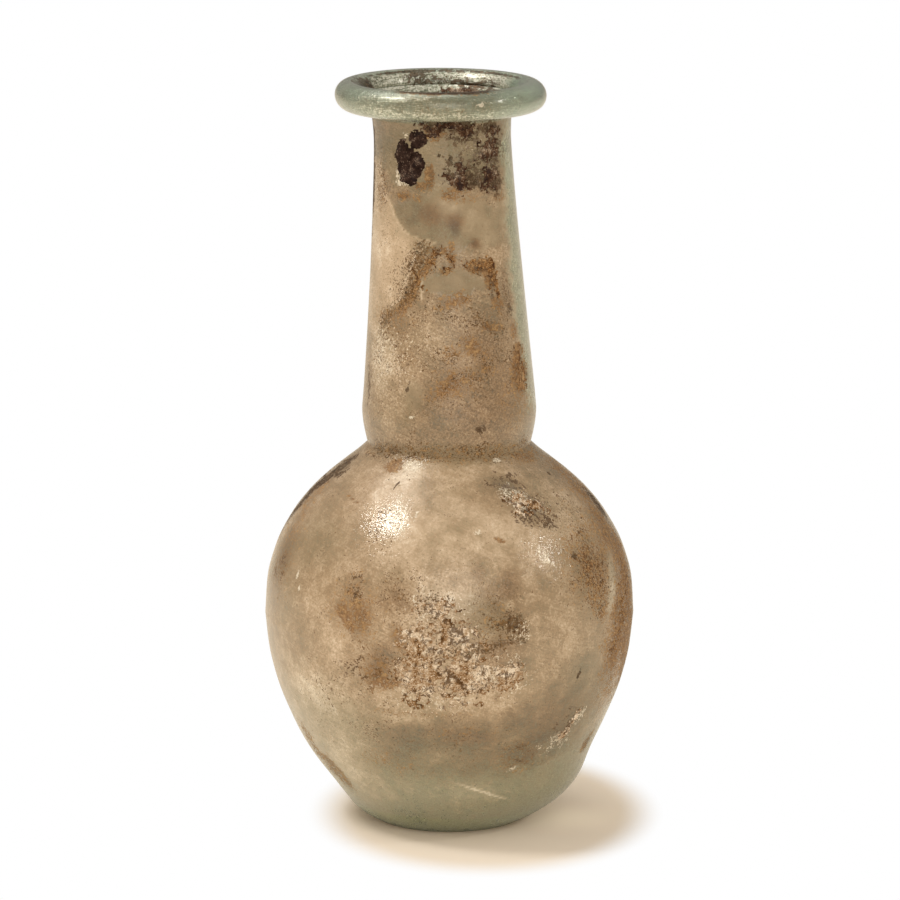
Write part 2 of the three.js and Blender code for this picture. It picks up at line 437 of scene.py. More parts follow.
@dataclass(frozen=True)
class Stain:
    """One patch on the film: what it changes, its oval, how strong it is and how much of it fades out.

    Most are weathering, and some are painted highlights and painted shade. A strength below zero takes away.
    """

    layer: Layer
    azimuth: float
    height: float
    half_width: float
    half_height: float
    strength: float = 1.0
    soft: float = 0.5
    tilt: float = 0.0

    def amount(self, azimuth: Array, height: Array, radius: Array, ragged: Array) -> Array:
        """How much of the stain lies at each place.

        Args:
            azimuth: in radians.
            height: above the resting surface.
            radius: the wall's outer radius there.
            ragged: noise that breaks the stain's edge.

        Returns:
            The stain's strength at each place, 0 outside it.
        """
        oval = Lobe(self.azimuth, self.height, self.half_width, self.half_height, self.tilt)
        distance = oval.distance(azimuth, height, radius) + 0.25 * ragged
        return self.strength * (1.0 - smoothstep(1.0 - self.soft, 1.0 + self.soft, distance))


def lobes(*rows: tuple[float, ...]) -> tuple[Lobe, ...]:
    """Lobes, each from a row with its values in their order."""
    return tuple(Lobe(*row) for row in rows)


def stains(layer: Layer, *rows: tuple[float, ...]) -> tuple[Stain, ...]:
    """The stains of one layer, each from a row with its values in their order."""
    return tuple(Stain(layer, *row) for row in rows)


@dataclass(frozen=True)
class TornSheet:
    """A sheet of film on the neck's left that ends on its right at a torn edge."""

    layer: Layer
    strength: float
    edge: SmoothCurve
    low: float = 90.0
    high: float = 122.0
    soft: float = 0.25
    lip: float = 0.0
    fades: Limits = (1.0, 2.0)
    fray: float = 0.35
    lip_place: float = 0.4
    lip_reach: float = 0.35
    starts: float = -130.0
    full: float = -100.0

    def amount(self, azimuth: Array, height: Array, radius: Array, ragged: Array) -> Array:
        """How much of the sheet lies at each place.

        Args:
            azimuth: in radians.
            height: above the resting surface.
            radius: the wall's outer radius there.
            ragged: noise that breaks the sheet's edge.

        Returns:
            The sheet's strength at each place, 0 outside it, and more along its edge if it has a lip.
        """
        turn = (azimuth + math.pi) % (2 * math.pi) - math.pi
        torn = np.radians(self.edge(np.clip(height, self.low, self.high)))
        beyond = (turn - torn) * radius + self.fray * ragged
        inside = 1.0 - smoothstep(-self.soft, self.soft, beyond)
        behind = smoothstep(math.radians(self.starts), math.radians(self.full), turn)
        foot, head = self.fades
        risen = smoothstep(self.low - foot, self.low + foot, height)
        below = 1.0 - smoothstep(self.high - head, self.high, height)
        raised = 1.0 + self.lip * np.exp(-(((beyond + self.lip_place) / self.lip_reach) ** 2))
        return self.strength * inside * behind * risen * below * raised


def overlay(under: Array, amount: Array) -> Array:
    """Adds a stain's amount to what is there, kept between 0 and 1; a negative amount takes away."""
    return np.where(amount >= 0, under + amount * (1.0 - under), under * (1.0 + amount))


CREAM_EDGE = SmoothCurve(
    [
        (90, -62), (91.6, -57.7), (94.2, -48.5), (98.2, -32.5), (103.2, -25.8), (106, -18.2), (107.4, -7),
        (108, -15.8), (108.8, -30), (110, -35.8), (111.8, -41.8), (113.8, -47.5), (115.8, -54.2),
        (118, -58.5), (122, -63),
    ]
)

NECK_STAINS = (
    # The khaki top of the neck, with dark mottling on its right
    *stains(OLIVE, (-2, 122.4, 14, 6.6, 0.34, 0.2), (6.5, 123.8, 0.4, 1.6, 0.9)),
    *stains(WARMTH, (-2, 122.4, 14, 6.6, -0.5, 0.2)),
    *stains(GRAIN, (-2, 122.4, 14, 6.6, -0.3, 0.2)),
    *stains(LIGHT, (-8, 121.4, 2.6, 3.6, 0.15, 0.7)),
    *stains(
        DARK, (-82, 121, 1.3, 8, 0.8), (-88, 113, 1.6, 7, 0.6, 0.7, 6), (-41, 122.4, 0.7, 2.2, 0.4, 0.8),
        (-14, 117.6, 1.4, 0.7, 0.3, 0.7, 30), (6.5, 122, 0.35, 0.7, 0.7, 0.4),
        (-2.8, 122.6, 0.32, 0.3, 1, 0.3), (30.5, 125.6, 0.2, 2.3, 0.6), (17, 126.3, 2.8, 1.3, 0.55, 0.6),
        (8, 128.2, 5, 1.2, 1, 0.3), (39.5, 127.3, 2.6, 0.9, 0.7), (57, 125.6, 1.5, 1.6, 0.55, 0.6),
        (44.5, 122.9, 3, 2.1, 0.52, 0.7), (20, 119.6, 4.2, 2.2, 0.58, 0.7),
        (34, 118.2, 4.6, 2.4, 0.56, 0.6), (30, 122.6, 7, 5.4, 0.3), (46, 117.6, 1.7, 2.4, 0.62, 0.6),
    ),
    *stains(
        RUST, (-92, 117, 2, 8, 0.45, 0.8, -5), (-60, 115, 1.8, 4, 0.25, 0.7),
        (-11.5, 119, 0.9, 2.4, 0.95, 0.4), (-18.2, 117.2, 1.7, 0.9, 0.9, 0.4),
        (-34.8, 115.3, 1.3, 0.7, 0.9), (5, 115.6, 1.6, 0.7, 0.6, 0.6), (8, 127.6, 4.7, 1.3, 0.6, 0.25),
        (-6, 126.7, 1.5, 1.4, 0.7, 0.4), (45, 122.3, 2.5, 1.6, 0.5, 0.6), (14, 116.8, 3, 0.9, 0.6, 0.7),
        (50, 115, 1.6, 1, 0.6),
    ),
    *stains(PEPPER, (-62, 116.4, 2.3, 5, 0.45, 0.3)),
    *stains(
        FLAKES, (-38.8, 119.2, 0.6, 1.5, 0.75, 0.4), (-33.5, 117.7, 2.1, 0.4, 0.75),
        (-31, 126.2, 0.8, 0.4, 0.7), (40, 123.4, 4.2, 3.4, 0.4, 0.6), (36, 118.4, 3, 2, 0.36, 0.7),
        (14, 126.4, 3, 1, 0.3, 0.7),
    ),
    # The smooth grey film under it, with its soft spots
    *stains(
        WARMTH, (8, 111, 11.6, 5.4, -0.65, 0.16), (-11.5, 112.2, 2.4, 1.9, 0.5, 0.7),
        (8.2, 111.2, 1.7, 1.3, 0.5, 0.7), (23.5, 107, 1.2, 1, 0.6, 0.7),
    ),
    *stains(GRAIN, (8, 111, 11.6, 5.4, -0.9, 0.16)),
    *stains(
        LIGHT, (30, 109.6, 5, 4.5, 0.12, 0.6), (-11.5, 112.2, 2.2, 1.7, -0.5, 0.7),
        (8.2, 111.2, 1.5, 1.2, -0.65, 0.7, 20), (8.6, 109.6, 0.8, 1.1, -0.6, 0.7),
        (23.5, 107, 1, 0.9, -0.7, 0.7), (-54, 121.5, 6, 6.4, -0.2, 0.7), (-27, 111, 1.4, 0.8, -0.3, 0.7),
        (-30, 113.6, 3.4, 3.6, -0.14),
    ),
    *stains(
        RUST, (-33, 115.3, 1.6, 0.8, 0.6, 0.6), (-20, 115, 1.2, 0.7, 0.5, 0.6),
        (18, 115, 3.6, 0.8, 0.5, 0.7),
    ),
    # The cream film on the left, and the arc of specks on it
    TornSheet(LIGHT, 0.44, CREAM_EDGE, lip=0.5),
    TornSheet(WARMTH, 0.45, CREAM_EDGE),
    *stains(GRAIN, (-54, 105, 6, 10.4, -0.55, 0.3), (-30, 101, 4, 5, -0.4, 0.7)),
    *stains(
        PEPPER, (-18.2, 107, 1.6, 1, 1, 0.4), (-24, 103.8, 1.8, 3.2, 0.85, 0.7, -28),
        (-30.5, 98.6, 1.8, 2.8, 0.85, 0.7, -32), (-35, 101, 3.2, 4.6, 0.32, 0.8, -32),
        (-46, 94.4, 3.2, 1, 0.6, 0.7, 34), (-52, 105, 5, 9, 0.22, 0.7),
    ),
    *stains(
        RUST, (-20, 101, 0.9, 3, 0.75, 0.4, -30), (-27.5, 97.4, 1.1, 2, 0.6, 0.6, -34),
        (-36, 94.8, 2.6, 0.9, 0.45, 0.8, 30),
    ),
    # The rust that frames the smooth window
    *stains(
        RUST, (-5.8, 105.9, 2.1, 0.8, 0.7, 0.35), (-12, 104, 0.8, 1.7, 0.7, 0.4, -30),
        (4.8, 105, 0.75, 2.5, 0.65, 0.45), (-1.6, 102.2, 0.9, 1, 0.85, 0.3),
        (4, 99.8, 5.3, 1.9, -0.95, 0.12), (27, 102.9, 3, 1.3, 1, 0.3), (35, 100.9, 1.2, 2.4, 0.95, 0.35),
        (40, 96.2, 1.3, 1.6, 0.7, 0.5, 40), (3.7, 97.2, 2.9, 1.6, 0.62, 0.6, 12),
    ),
    *stains(WARMTH, (4, 100, 5.6, 2.3, -0.8, 0.1)),
    *stains(GRAIN, (4, 100, 5.5, 2.3, -0.95, 0.1)),
    *stains(LIGHT, (-19, 99.6, 0.3, 2.6, 0.6)),
    *stains(
        DARK, (35.4, 99.4, 0.6, 2.2, 0.6), (27, 102.6, 1.6, 0.6, 0.5, 0.6), (52, 94.6, 0.7, 1.2, 0.55),
        (49.8, 98, 1.7, 4, 0.22, 0.9),
    ),
    *stains(PEPPER, (49.8, 98.6, 2, 4.6, 0.5, 0.6)),
    # The peppered tan film of the lower neck, and a long olive-brown band along the crease that is partly
    # painted shade
    *stains(
        PEPPER, (20, 90, 9, 7.5, 0.25, 0.6), (-2, 86, 14, 12, 0.1), (-40, 92, 5, 3, 0.15, 0.7),
        # The long band at height 69.8 runs along the crease: brown specks, and painted shade in the crease.
        (-52, 86.4, 4.6, 6.6, 0.35, 0.6), (10, 69.8, 18, 1.8, 0.5),
    ),
    *stains(
        LIGHT, (26, 90.6, 3.4, 4.4, -0.3, 0.8, 12), (9, 76, 9, 6.6, -0.22, 0.8), (42, 79, 5, 7, -0.3, 0.8),
        (-12, 90, 3.6, 3, 0.2, 0.8), (-54, 86.4, 4, 5.6, 0.5), (-46, 77.4, 3.4, 5.6, 0.2, 0.6),
        (54, 78, 5, 5, 0.15, 0.8),
    ),
    *stains(
        WARMTH, (30, 82, 10, 8, 0.3, 0.8), (57, 75, 2.6, 3.6, -0.3, 0.8), (-24.8, 80, 1.9, 2.7, -0.5, 0.3),
    ),
    *stains(
        RUST, (-8, 80.4, 3, 1.2, 0.35, 0.8, 10), (-0.5, 82.4, 1.5, 1, 0.55, 0.8),
        (15.5, 89.2, 1.8, 1.5, 0.62, 0.8), (3, 88, 1.6, 1.8, 0.4, 0.9), (14, 84.2, 5, 1.2, 0.5, 0.8),
        (4, 81.8, 4.6, 1.4, 0.42, 0.8), (34, 92, 2, 1, 0.8, 0.6), (24, 87.4, 1.6, 2, 0.55, 0.8),
        (54, 91.2, 1.2, 1.6, 0.6, 0.6), (-31.5, 87, 2.6, 2.4, 0.42, 0.9), (-44, 92.4, 4.6, 2.6, 0.5, 0.7),
        (58, 87.4, 2, 1.2, 0.85, 0.4), (59, 83.4, 2.7, 3.6, 0.8, 0.45), (52, 78.5, 4.6, 4, 0.36, 0.8),
        # The long band at height 69.6: rust along the crease, partly painted shade in the crease.
        (10, 69.6, 18, 1.6, 0.35),
    ),
    *stains(
        FLAKES, (-54, 86.6, 3.7, 5, 0.35, 0.8), (-30, 88, 4, 5, 0.15, 0.8),
        # A painted glint: a short bright streak low on the neck.
        (-24.2, 76.3, 0.8, 0.16, 1, 0.4, 15),
    ),
    *stains(
        DARK, (-71, 81.8, 1.1, 4.6, 0.5, 0.7), (67.8, 82.4, 0.4, 0.5, 1, 0.3),
        (-29.5, 81, 0.3, 1.6, 0.32, 0.8, -20), (21.2, 74.2, 1, 1.2, 0.6, 0.4),
        (-34, 69.6, 3, 0.9, 0.35, 0.6),
    ),
    *stains(GRAIN, (-24.8, 80, 1.9, 2.7, -0.7, 0.3)),
    # The long band at height 69.5: olive along the crease, partly painted shade in the crease.
    *stains(OLIVE, (-30, 76.6, 1.4, 4.4, 0.25, 0.7), (10, 69.5, 18, 1.7, 0.4)),
    # The bare strip down the right
    *stains(COVER, (79, 100, 5.2, 24, -0.62, 0.3), (76, 121, 3.6, 7, -0.55)),
    *stains(GRAIN, (79, 100, 5.2, 24, -0.9, 0.3)),
    *stains(WARMTH, (78, 100, 5.6, 24, -0.9, 0.3)),
    *stains(LIGHT, (78, 100, 5.6, 24, 0.28, 0.3)),
    *stains(OLIVE, (68, 121, 2.6, 7, 0.4)),
)

BODY_STAINS = (
    # The crease and the shoulder
    *stains(
        RUST, (-36.2, 67.2, 2.1, 1.1, 0.85, 0.4, 8), (-92, 57, 5, 9, 0.45, 0.8, -20),
        (-76, 60, 3, 3.4, 0.4, 0.8), (62, 67.8, 4.4, 1, 0.6, 0.6), (84, 62.5, 5, 4.5, 0.6),
        (-31.2, 48.4, 2.8, 2.8, 0.3, 0.9), (-48, 61.8, 3, 0.14, 0.9, 0.4, -12),
        (-34.4, 43.6, 1.1, 2, 0.9, 0.6, 30), (-31.6, 41.4, 0.6, 1, 0.7, 0.5, 30),
        (-28.4, 43.2, 1.8, 2, 0.75, 0.8), (-31, 44.4, 5, 4.4, 0.4, 0.9), (-70, 49.6, 4.6, 5.6, 0.42, 0.9),
    ),
    *stains(
        PEPPER, (-55, 68.6, 5, 1.2, 0.6, 0.6), (-26, 58.6, 3.2, 3.4, 0.55, 0.6, -18),
        (-31, 48.4, 2.6, 2.6, 0.35, 0.7), (-16, 50.6, 4, 1.6, 0.25, 0.6, -10),
        (-13.6, 47.2, 3.2, 1.2, 0.35, 0.8, -25), (-3, 46.6, 3, 2.4, 0.55, 0.6),
    ),
    # All of these but the first, a cream flake on the crease, are painted light: a white glint on the crease,
    # the key lamp's highlight on the left shoulder with its tail, the fill lamp's star highlight with its
    # tail on the right shoulder, and four small glints on the body.
    *stains(
        FLAKES, (-24, 67.5, 1.9, 0.7, 0.65), (33.2, 68.2, 0.8, 0.25, 1, 0.4),
        (-22.5, 59.4, 2.7, 2.6, 0.56, 0.6, -18), (-23.5, 62.6, 1.2, 1.4, 0.34, 0.8, 12),
        (34.2, 53.5, 1, 1.7, 0.62, 0.5, 35), (36.2, 52, 1.7, 0.4, 0.5, 0.5, -40),
        (-57.5, 48.4, 0.25, 0.8, 1, 0.4), (-54.5, 46.2, 0.22, 0.6, 1, 0.4),
        (-13.5, 60.8, 0.2, 0.6, 0.9, 0.4, -15), (11, 58, 0.6, 0.3, 0.8, 0.5, -15),
    ),
    *stains(
        # The second light patch, at azimuth -26, is a painted halo about the key lamp's highlight on the left
        # shoulder.
        LIGHT, (-24, 66.8, 3.2, 1.4, 0.6, 0.7), (-26, 61.4, 4.2, 5.6, 0.4, 0.7, 12),
        (2, 58, 16, 9, 0.25, 0.7), (-13.6, 47.2, 3.6, 1.5, -0.45, 0.8, -25), (-3, 46.6, 3.2, 2.6, 0.3, 0.6),
    ),
    *stains(
        DARK, (-83, 63.6, 1.7, 3.6, 0.9, 0.5, -20), (-87, 58, 1.6, 5, 0.85, 0.5, -12),
        (-95, 60, 3.6, 5, 0.5, 0.8, -25), (-78, 64.5, 3.2, 1.4, 0.6, 0.6), (85.6, 58, 2.2, 3.2, 0.8, 0.4),
        (-28, 64.6, 0.2, 0.75, 0.9, 0.4, -15), (-31.8, 49.9, 1.2, 0.22, 0.7, 0.5, 20),
        (-30.4, 47.6, 0.22, 1.3, 0.7, 0.5, -20), (-29, 49.4, 0.2, 0.6, 0.7, 0.5, 30),
        (-70, 48, 3.4, 5, 0.2, 0.9),
    ),
    *stains(WARMTH, (-34, 61, 8, 6, 0.35, 0.8), (-31, 44, 5, 4, 0.4, 0.9)),
    *stains(GRAIN, (-4, 58, 13, 7, -0.35, 0.7)),
    *stains(OLIVE, (-52, 54.8, 6.4, 4, 0.3, 0.8), (-62, 44, 4, 9, 0.2, 0.8)),
    # The grey-brown blotch with flakes on the right shoulder
    *stains(LIGHT, (24, 63.4, 5.4, 2.2, -0.3, 0.8), (36, 61.5, 5.6, 3, -0.3, 0.6, -20)),
    *stains(WARMTH, (34, 62.5, 7.4, 3.4, -0.25, 0.7, -20)),
    *stains(
        DARK, (30.5, 64.9, 3.4, 1.3, 0.5, 0.7, -6), (37.5, 58.9, 4.4, 1.3, 0.58, 0.6, -14),
        (42, 60.4, 3.4, 1.8, 0.45, 0.7, -18), (65, 64.8, 0.4, 0.28, 1, 0.3),
        (47.2, 52.4, 0.5, 0.42, 1, 0.3),
    ),
    *stains(FLAKES, (31.5, 62.9, 2.8, 1.8, 0.6, 0.6, -25), (40, 60.6, 3.6, 1.1, 0.5, 0.6, -10)),
    *stains(PEPPER, (55, 60, 7, 4, 0.35, 0.7)),
    *stains(RUST, (18.8, 56.6, 1, 0.4, 0.9, 0.4, -20)),
    # The right flank
    *stains(OLIVE, (55, 44, 12, 14, 0.12, 0.8), (52, 28, 9, 7, 0.3, 0.8)),
    *stains(
        RUST, (52, 50.5, 5.4, 6.6, 0.5, 0.8), (54, 43.6, 2, 3.2, 0.4, 0.8, 30),
        (66, 44, 7, 15, 0.3, 0.6, 8), (63.5, 46, 4.8, 1.2, -0.85, 0.6, 66),
        (70, 41, 10.5, 3.8, 0.6, 0.5, 62), (68, 31, 5.6, 8, 0.45, 0.6, 10), (80, 45, 4.6, 12, 0.62),
        (72, 56, 3.4, 5, 0.45, 0.7, -30), (77, 33, 3.2, 8.6, 0.75, 0.5, 4),
        (64.5, 34.8, 1.7, 2.8, 0.5, 0.7, 15),
    ),
    *stains(PEPPER, (54, 50, 6, 6.6, 0.4, 0.7), (60, 47, 4, 7, 0.3, 0.7, 8), (52, 48, 3.6, 6, 0.35, 0.7)),
    *stains(
        LIGHT, (52, 58.5, 6.6, 4, 0.3, 0.8), (63.5, 46, 4.8, 1.3, 0.5, 0.7, 66),
        (72, 41, 11, 4.4, -0.32, 0.6, 62), (68, 31, 6, 8.4, -0.3, 0.6, 10), (80, 44, 5.6, 13, -0.3, 0.6),
        (45.5, 31, 4.6, 3.6, -0.18, 0.5, 20), (80, 52, 6, 12, -0.25, 0.6),
    ),
    *stains(
        WARMTH, (66, 40, 7, 15, 0.4, 0.6, 8), (63.5, 46, 5, 1.4, -0.8, 0.6, 66),
        (72, 41, 11, 4.6, 0.6, 0.6, 62), (68, 31, 6, 8.4, 0.5, 0.6, 10),
        (45.5, 31, 4.6, 3.6, -0.5, 0.5, 20),
    ),
    # The olive blot and the brown smears of the belly
    *stains(OLIVE, (11.6, 44, 5, 4, 0.55, 0.7, -20)),
    *stains(
        WARMTH, (14, 44, 4.6, 4.6, 0.5, 0.7, -20), (13, 36.6, 5, 2.6, 0.3, 0.9, -6),
        (-2, 38, 11, 10, 0.3, 0.7), (-20.4, 36.6, 3, 4, 0.4, 0.8, -24), (-37.5, 37.6, 3.4, 4.6, 0.5, 0.8),
    ),
    *stains(
        LIGHT, (13.4, 43.8, 4.4, 4.2, -0.2, 0.7, -20), (12, 38.4, 5, 1.5, -0.5, 0.8, 6),
        (13, 36.6, 5, 2.6, -0.42, 0.9, -6), (17, 44.2, 2.4, 1.5, -0.35, 0.8, -30),
        (20.2, 41.6, 2.4, 2.4, -0.2, 0.8, 30), (18.4, 46, 0.9, 0.9, 0.6, 0.7),
        (19.6, 49.6, 2, 2.6, -0.45, 0.8, -24), (16.4, 47.4, 3, 2, -0.25, 0.9, -24),
        (9.6, 51.6, 1.2, 1.6, -0.3, 0.9), (-17, 46.2, 3, 1.5, -0.35, 0.8, -15), (-2, 36, 10, 8.6, 0.2),
        (-3, 47.4, 6.4, 2.2, 0.3, 0.7), (-73, 47, 3.6, 9, -0.3, 0.7), (-3, 36, 10, 9.6, 0.22, 0.6),
        (-20.4, 36.6, 2.2, 3.4, -0.45, 0.7, -24), (-15, 40.2, 1.4, 2.6, -0.35, 0.8, 20),
        (-37.5, 37.6, 2.6, 3.6, 0.4, 0.8), (-13, 25.4, 5.4, 1.6, 0.4, 0.8),
    ),
    *stains(
        RUST, (13.6, 43.4, 3.6, 3.6, 0.3, 0.8, -20), (-15.4, 40.4, 1.4, 2.4, 0.5, 0.8, 20),
        (-22, 33.4, 3, 2.4, 0.5, 0.8), (-19.5, 32.2, 2.6, 1.4, 0.7, 0.6, -8),
        (-27, 35, 3.6, 4.6, 0.32, 0.9), (-9, 26.4, 7, 0.7, 0.5, 0.8),
    ),
    *stains(
        PEPPER, (14, 44, 3.6, 4, 0.3, 0.6, -20), (11, 38.8, 5.6, 1, 0.9, 0.7, 8),
        (20.5, 41.6, 2.6, 2.4, 0.8, 0.7, 30), (-10, 47, 7, 3.4, 0.15, 0.7), (-2, 36, 10, 8.6, 0.22, 0.6),
        (-20, 36.6, 2.4, 3.6, 0.25, 0.8, -24),
    ),
    *stains(
        DARK, (14, 39.2, 3.6, 0.4, 0.42, 0.8, 4), (19.5, 42, 1.8, 0.6, 0.42, 0.8, 30),
        (-28.5, 34.6, 4, 5, 0.16, 0.9),
    ),
    *stains(
        FLAKES, (22.2, 41.4, 1.9, 2.2, 0.42, 0.8, 30), (-4, 45.6, 5, 2.6, 0.3, 0.8),
        (-6, 28.6, 7, 2.6, 0.26, 0.8), (17, 33, 4.6, 4, 0.28, 0.8), (3, 29.6, 1.2, 0.24, 1, 0.4),
    ),
    *stains(GRAIN, (-2, 39, 24, 12, 0.8, 0.6)),
    # The bare lower body, its flakes, smears and streaks
    *stains(
        COVER, (10, 20, 26, 7, 0.45), (13.5, 9.9, 6, 0.24, 0.5, 0.4, -24), (-52, 20, 12, 12, 0.5, 0.5, 20),
    ),
    *stains(
        LIGHT, (8, 19.6, 19, 6.4, -0.42, 0.35), (40, 23.4, 8.4, 6.6, -0.62, 0.7, 10),
        (2, 10.2, 12, 1.8, 0.3, 0.7), (-8, 17.4, 5, 1.5, 0.22, 0.8, 12),
        (9, 21.4, 4.6, 1.3, -0.3, 0.8, -10), (22, 21, 4, 1.4, 0.2, 0.8, 14),
        (-14, 21, 7, 2.4, -0.25, 0.8, -4), (-25, 16, 5.4, 2.6, -0.3, 0.8), (14, 19.6, 6, 2, -0.2, 0.8, 4),
        (27, 16.8, 3.8, 3, -0.35, 0.8), (13.5, 9.9, 6, 0.24, 1, 0.4, -24), (-52, 20, 12, 12, 0.62, 0.5, 20),
    ),
    *stains(
        OLIVE, (5, 17, 18, 7, 0.12), (2, 10, 13, 2.4, -0.5, 0.7), (55, 9, 8, 5, 0.35, 0.8),
        (-40, 24, 8, 3, 0.25, 0.8),
    ),
    *stains(
        WARMTH, (5, 16, 18, 7, -0.35), (9, 21.4, 5, 1.6, 0.5, 0.8, -10), (27, 17.6, 7, 3.4, 0.5, 0.8),
        (-52, 20, 12, 11, -0.4, 0.5, 20),
    ),
    *stains(GRAIN, (0, 18, 22, 7, 0.6, 0.6)),
    *stains(
        RUST, (6, 22.8, 6, 1.2, 0.25, 0.8), (27, 16.8, 3.4, 3, 0.44, 0.8), (-24, 16, 5.6, 2.4, 0.2, 0.8),
        (-58, 10.8, 2.4, 3.6, 0.75, 0.5, 8), (-66, 15, 2.4, 5, 0.55, 0.6, 8), (66, 16, 1.6, 1.8, 0.75),
    ),
    *stains(
        FLAKES, (40, 18.6, 4, 2, 0.22, 0.8, 10), (50.8, 22.9, 2.1, 0.9, 0.55, 0.6, 48),
        (44, 20.4, 2.2, 0.8, 0.4, 0.7, 10), (43, 18.4, 2.8, 1.4, 0.24, 0.8, 10),
        (25.5, 14.6, 1.2, 0.4, 0.6, 0.6, 20),
    ),
    *stains(PEPPER, (-6, 21.6, 16, 3, 0.22, 0.7), (-40, 27, 9, 5, 0.25, 0.8)),
    *stains(
        DARK, (45, 22.4, 3.2, 2.6, 0.3, 0.8, 40), (45.2, 32, 0.3, 1.2, 0.8, 0.4, -20),
        (42.6, 33, 1, 0.25, 0.6, 0.5, 25), (27, 16.8, 2.8, 2.2, 0.28, 0.8),
    ),
)

RIM_STAINS = (
    *stains(COVER, (-4, 132, 13, 2.6, 0.62), (4, 134.5, 8, 0.3, 0.9), (86, 132, 11, 3, -0.3)),
    *stains(GRAIN, (-4, 132.2, 15, 3, 1, 0.4)),
    *stains(
        # (-26, 132.4) is the roll's own golden-cream film, brightened further as painted sparkle of the key
        # lamp's highlight; (0, 130.1) is a pale band of painted light along the roll's lower front edge.
        LIGHT, (-26, 132.4, 5.4, 1.8, 0.6, 0.6), (8, 132.6, 9.4, 1.9, -0.62), (0, 130.1, 30, 0.8, 0.4, 0.6),
        (-76, 132.4, 4, 2.6, -0.55, 0.6),
    ),
    *stains(WARMTH, (-14, 132, 9, 1.6, 0.6, 0.6)),
    *stains(OLIVE, (8, 132.8, 9, 1.7, 0.45), (62, 133.2, 5, 1.8, 0.5, 0.7), (-75, 132, 4, 2.4, 0.3, 0.7)),
    *stains(FLAKES, (-46, 132.8, 3, 0.8, 0.12, 0.8), (22.5, 132.4, 0.5, 0.4, 0.8)),
    # (-64, 132.6) is a thin dark line painted on the roll's left, standing in for a dark refraction line in
    # its glass.
    *stains(DARK, (-64, 132.6, 4, 0.12, 0.3, 0.6, 3), (8, 134.5, 6.8, 0.3, 1, 0.4)),
    *stains(RUST, (-4, 134.48, 4.8, 0.32, 1, 0.4), (20, 134.5, 3.6, 0.42, 0.7, 0.6)),
)

MOUTH_STAINS = (
    *stains(COVER, (5, 134.3, 9.5, 0.5, 0.95, 0.3), (92, 132.5, 6.5, 3, -0.9, 0.4)),
    *stains(RUST, (4, 134.3, 8, 0.5, 0.9), (150, 131, 4, 1.2, 0.45, 0.8)),
    *stains(
        # (270, 132.2) darkens the mouth's inner left wall: painted shade.
        DARK, (8, 134.3, 9, 0.5, 0.62, 0.6), (270, 132.2, 6.5, 2.6, 0.75, 0.4),
        (172, 134.15, 14, 0.22, 0.95, 0.4), (196, 132.7, 2.4, 0.9, 0.6, 0.8),
        (158, 132.4, 4.6, 0.7, 0.5, 0.8), (145, 131, 4, 1.5, 0.7, 0.8), (225, 130.6, 1, 0.7, 0.9, 0.4),
        (185, 133, 3.4, 1.2, 0.4, 0.8),
    ),
    *stains(
        # (180, 131.9) is a pale ring of painted light that lifts the shade in the crevice under the fold's
        # edge.
        LIGHT, (166, 133, 14, 1, 0.8), (205, 132.4, 3, 1, 0.6, 0.6), (180, 131.9, 60, 0.5, 0.5, 0.6),
        (190, 130.2, 14, 2, 0.5, 0.6),
    ),
)


@dataclass(frozen=True)
class StainDraw:
    """The limits that a number of stains is drawn between, and how strong each layer's may be."""

    count: int
    strengths: dict[Layer, float]
    azimuths: Limits
    heights: Limits
    sizes: Limits
    shapes: Limits
    tilts: Limits
    shares: Limits
    soft: float = 0.8

    def stains(self, draw: np.random.Generator) -> list[Stain]:
        """Draws the stains.

        Args:
            draw: gives the random numbers.

        Returns:
            The stains, in order.
        """
        layers = list(self.strengths)
        limits = (self.azimuths, self.heights, self.sizes, self.shapes, self.tilts, self.shares)
        drawn = []
        for _ in range(self.count):
            layer = layers[draw.integers(len(layers))]
            azimuth, height, size, shape, tilt, share = (draw.uniform(*pair) for pair in limits)
            strength = self.strengths[layer] * share
            drawn.append(Stain(layer, azimuth, height, size * shape, size, strength, self.soft, tilt))
        return drawn


UNSEEN_SPOTS = StainDraw(
    60, {RUST: 0.6, DARK: 0.4, FLAKES: 0.5, LIGHT: 0.35, OLIVE: 0.35, GRAIN: -0.7, PEPPER: 0.7},
    (104, 256), (8, 126), (0.8, 4.5), (0.5, 1.8), (-50, 50), (0.5, 1.0),
)
UNSEEN_CLOUDS = StainDraw(
    26, {LIGHT: 1.0, WARMTH: 1.0}, (112, 248), (10, 124), (3.5, 9.0), (0.6, 1.6), (-40, 40), (-0.5, 0.5)
)
UNSEEN_CALM = Stain(GRAIN, 180, 98, 26.0, 34.0, -0.35, 0.4)


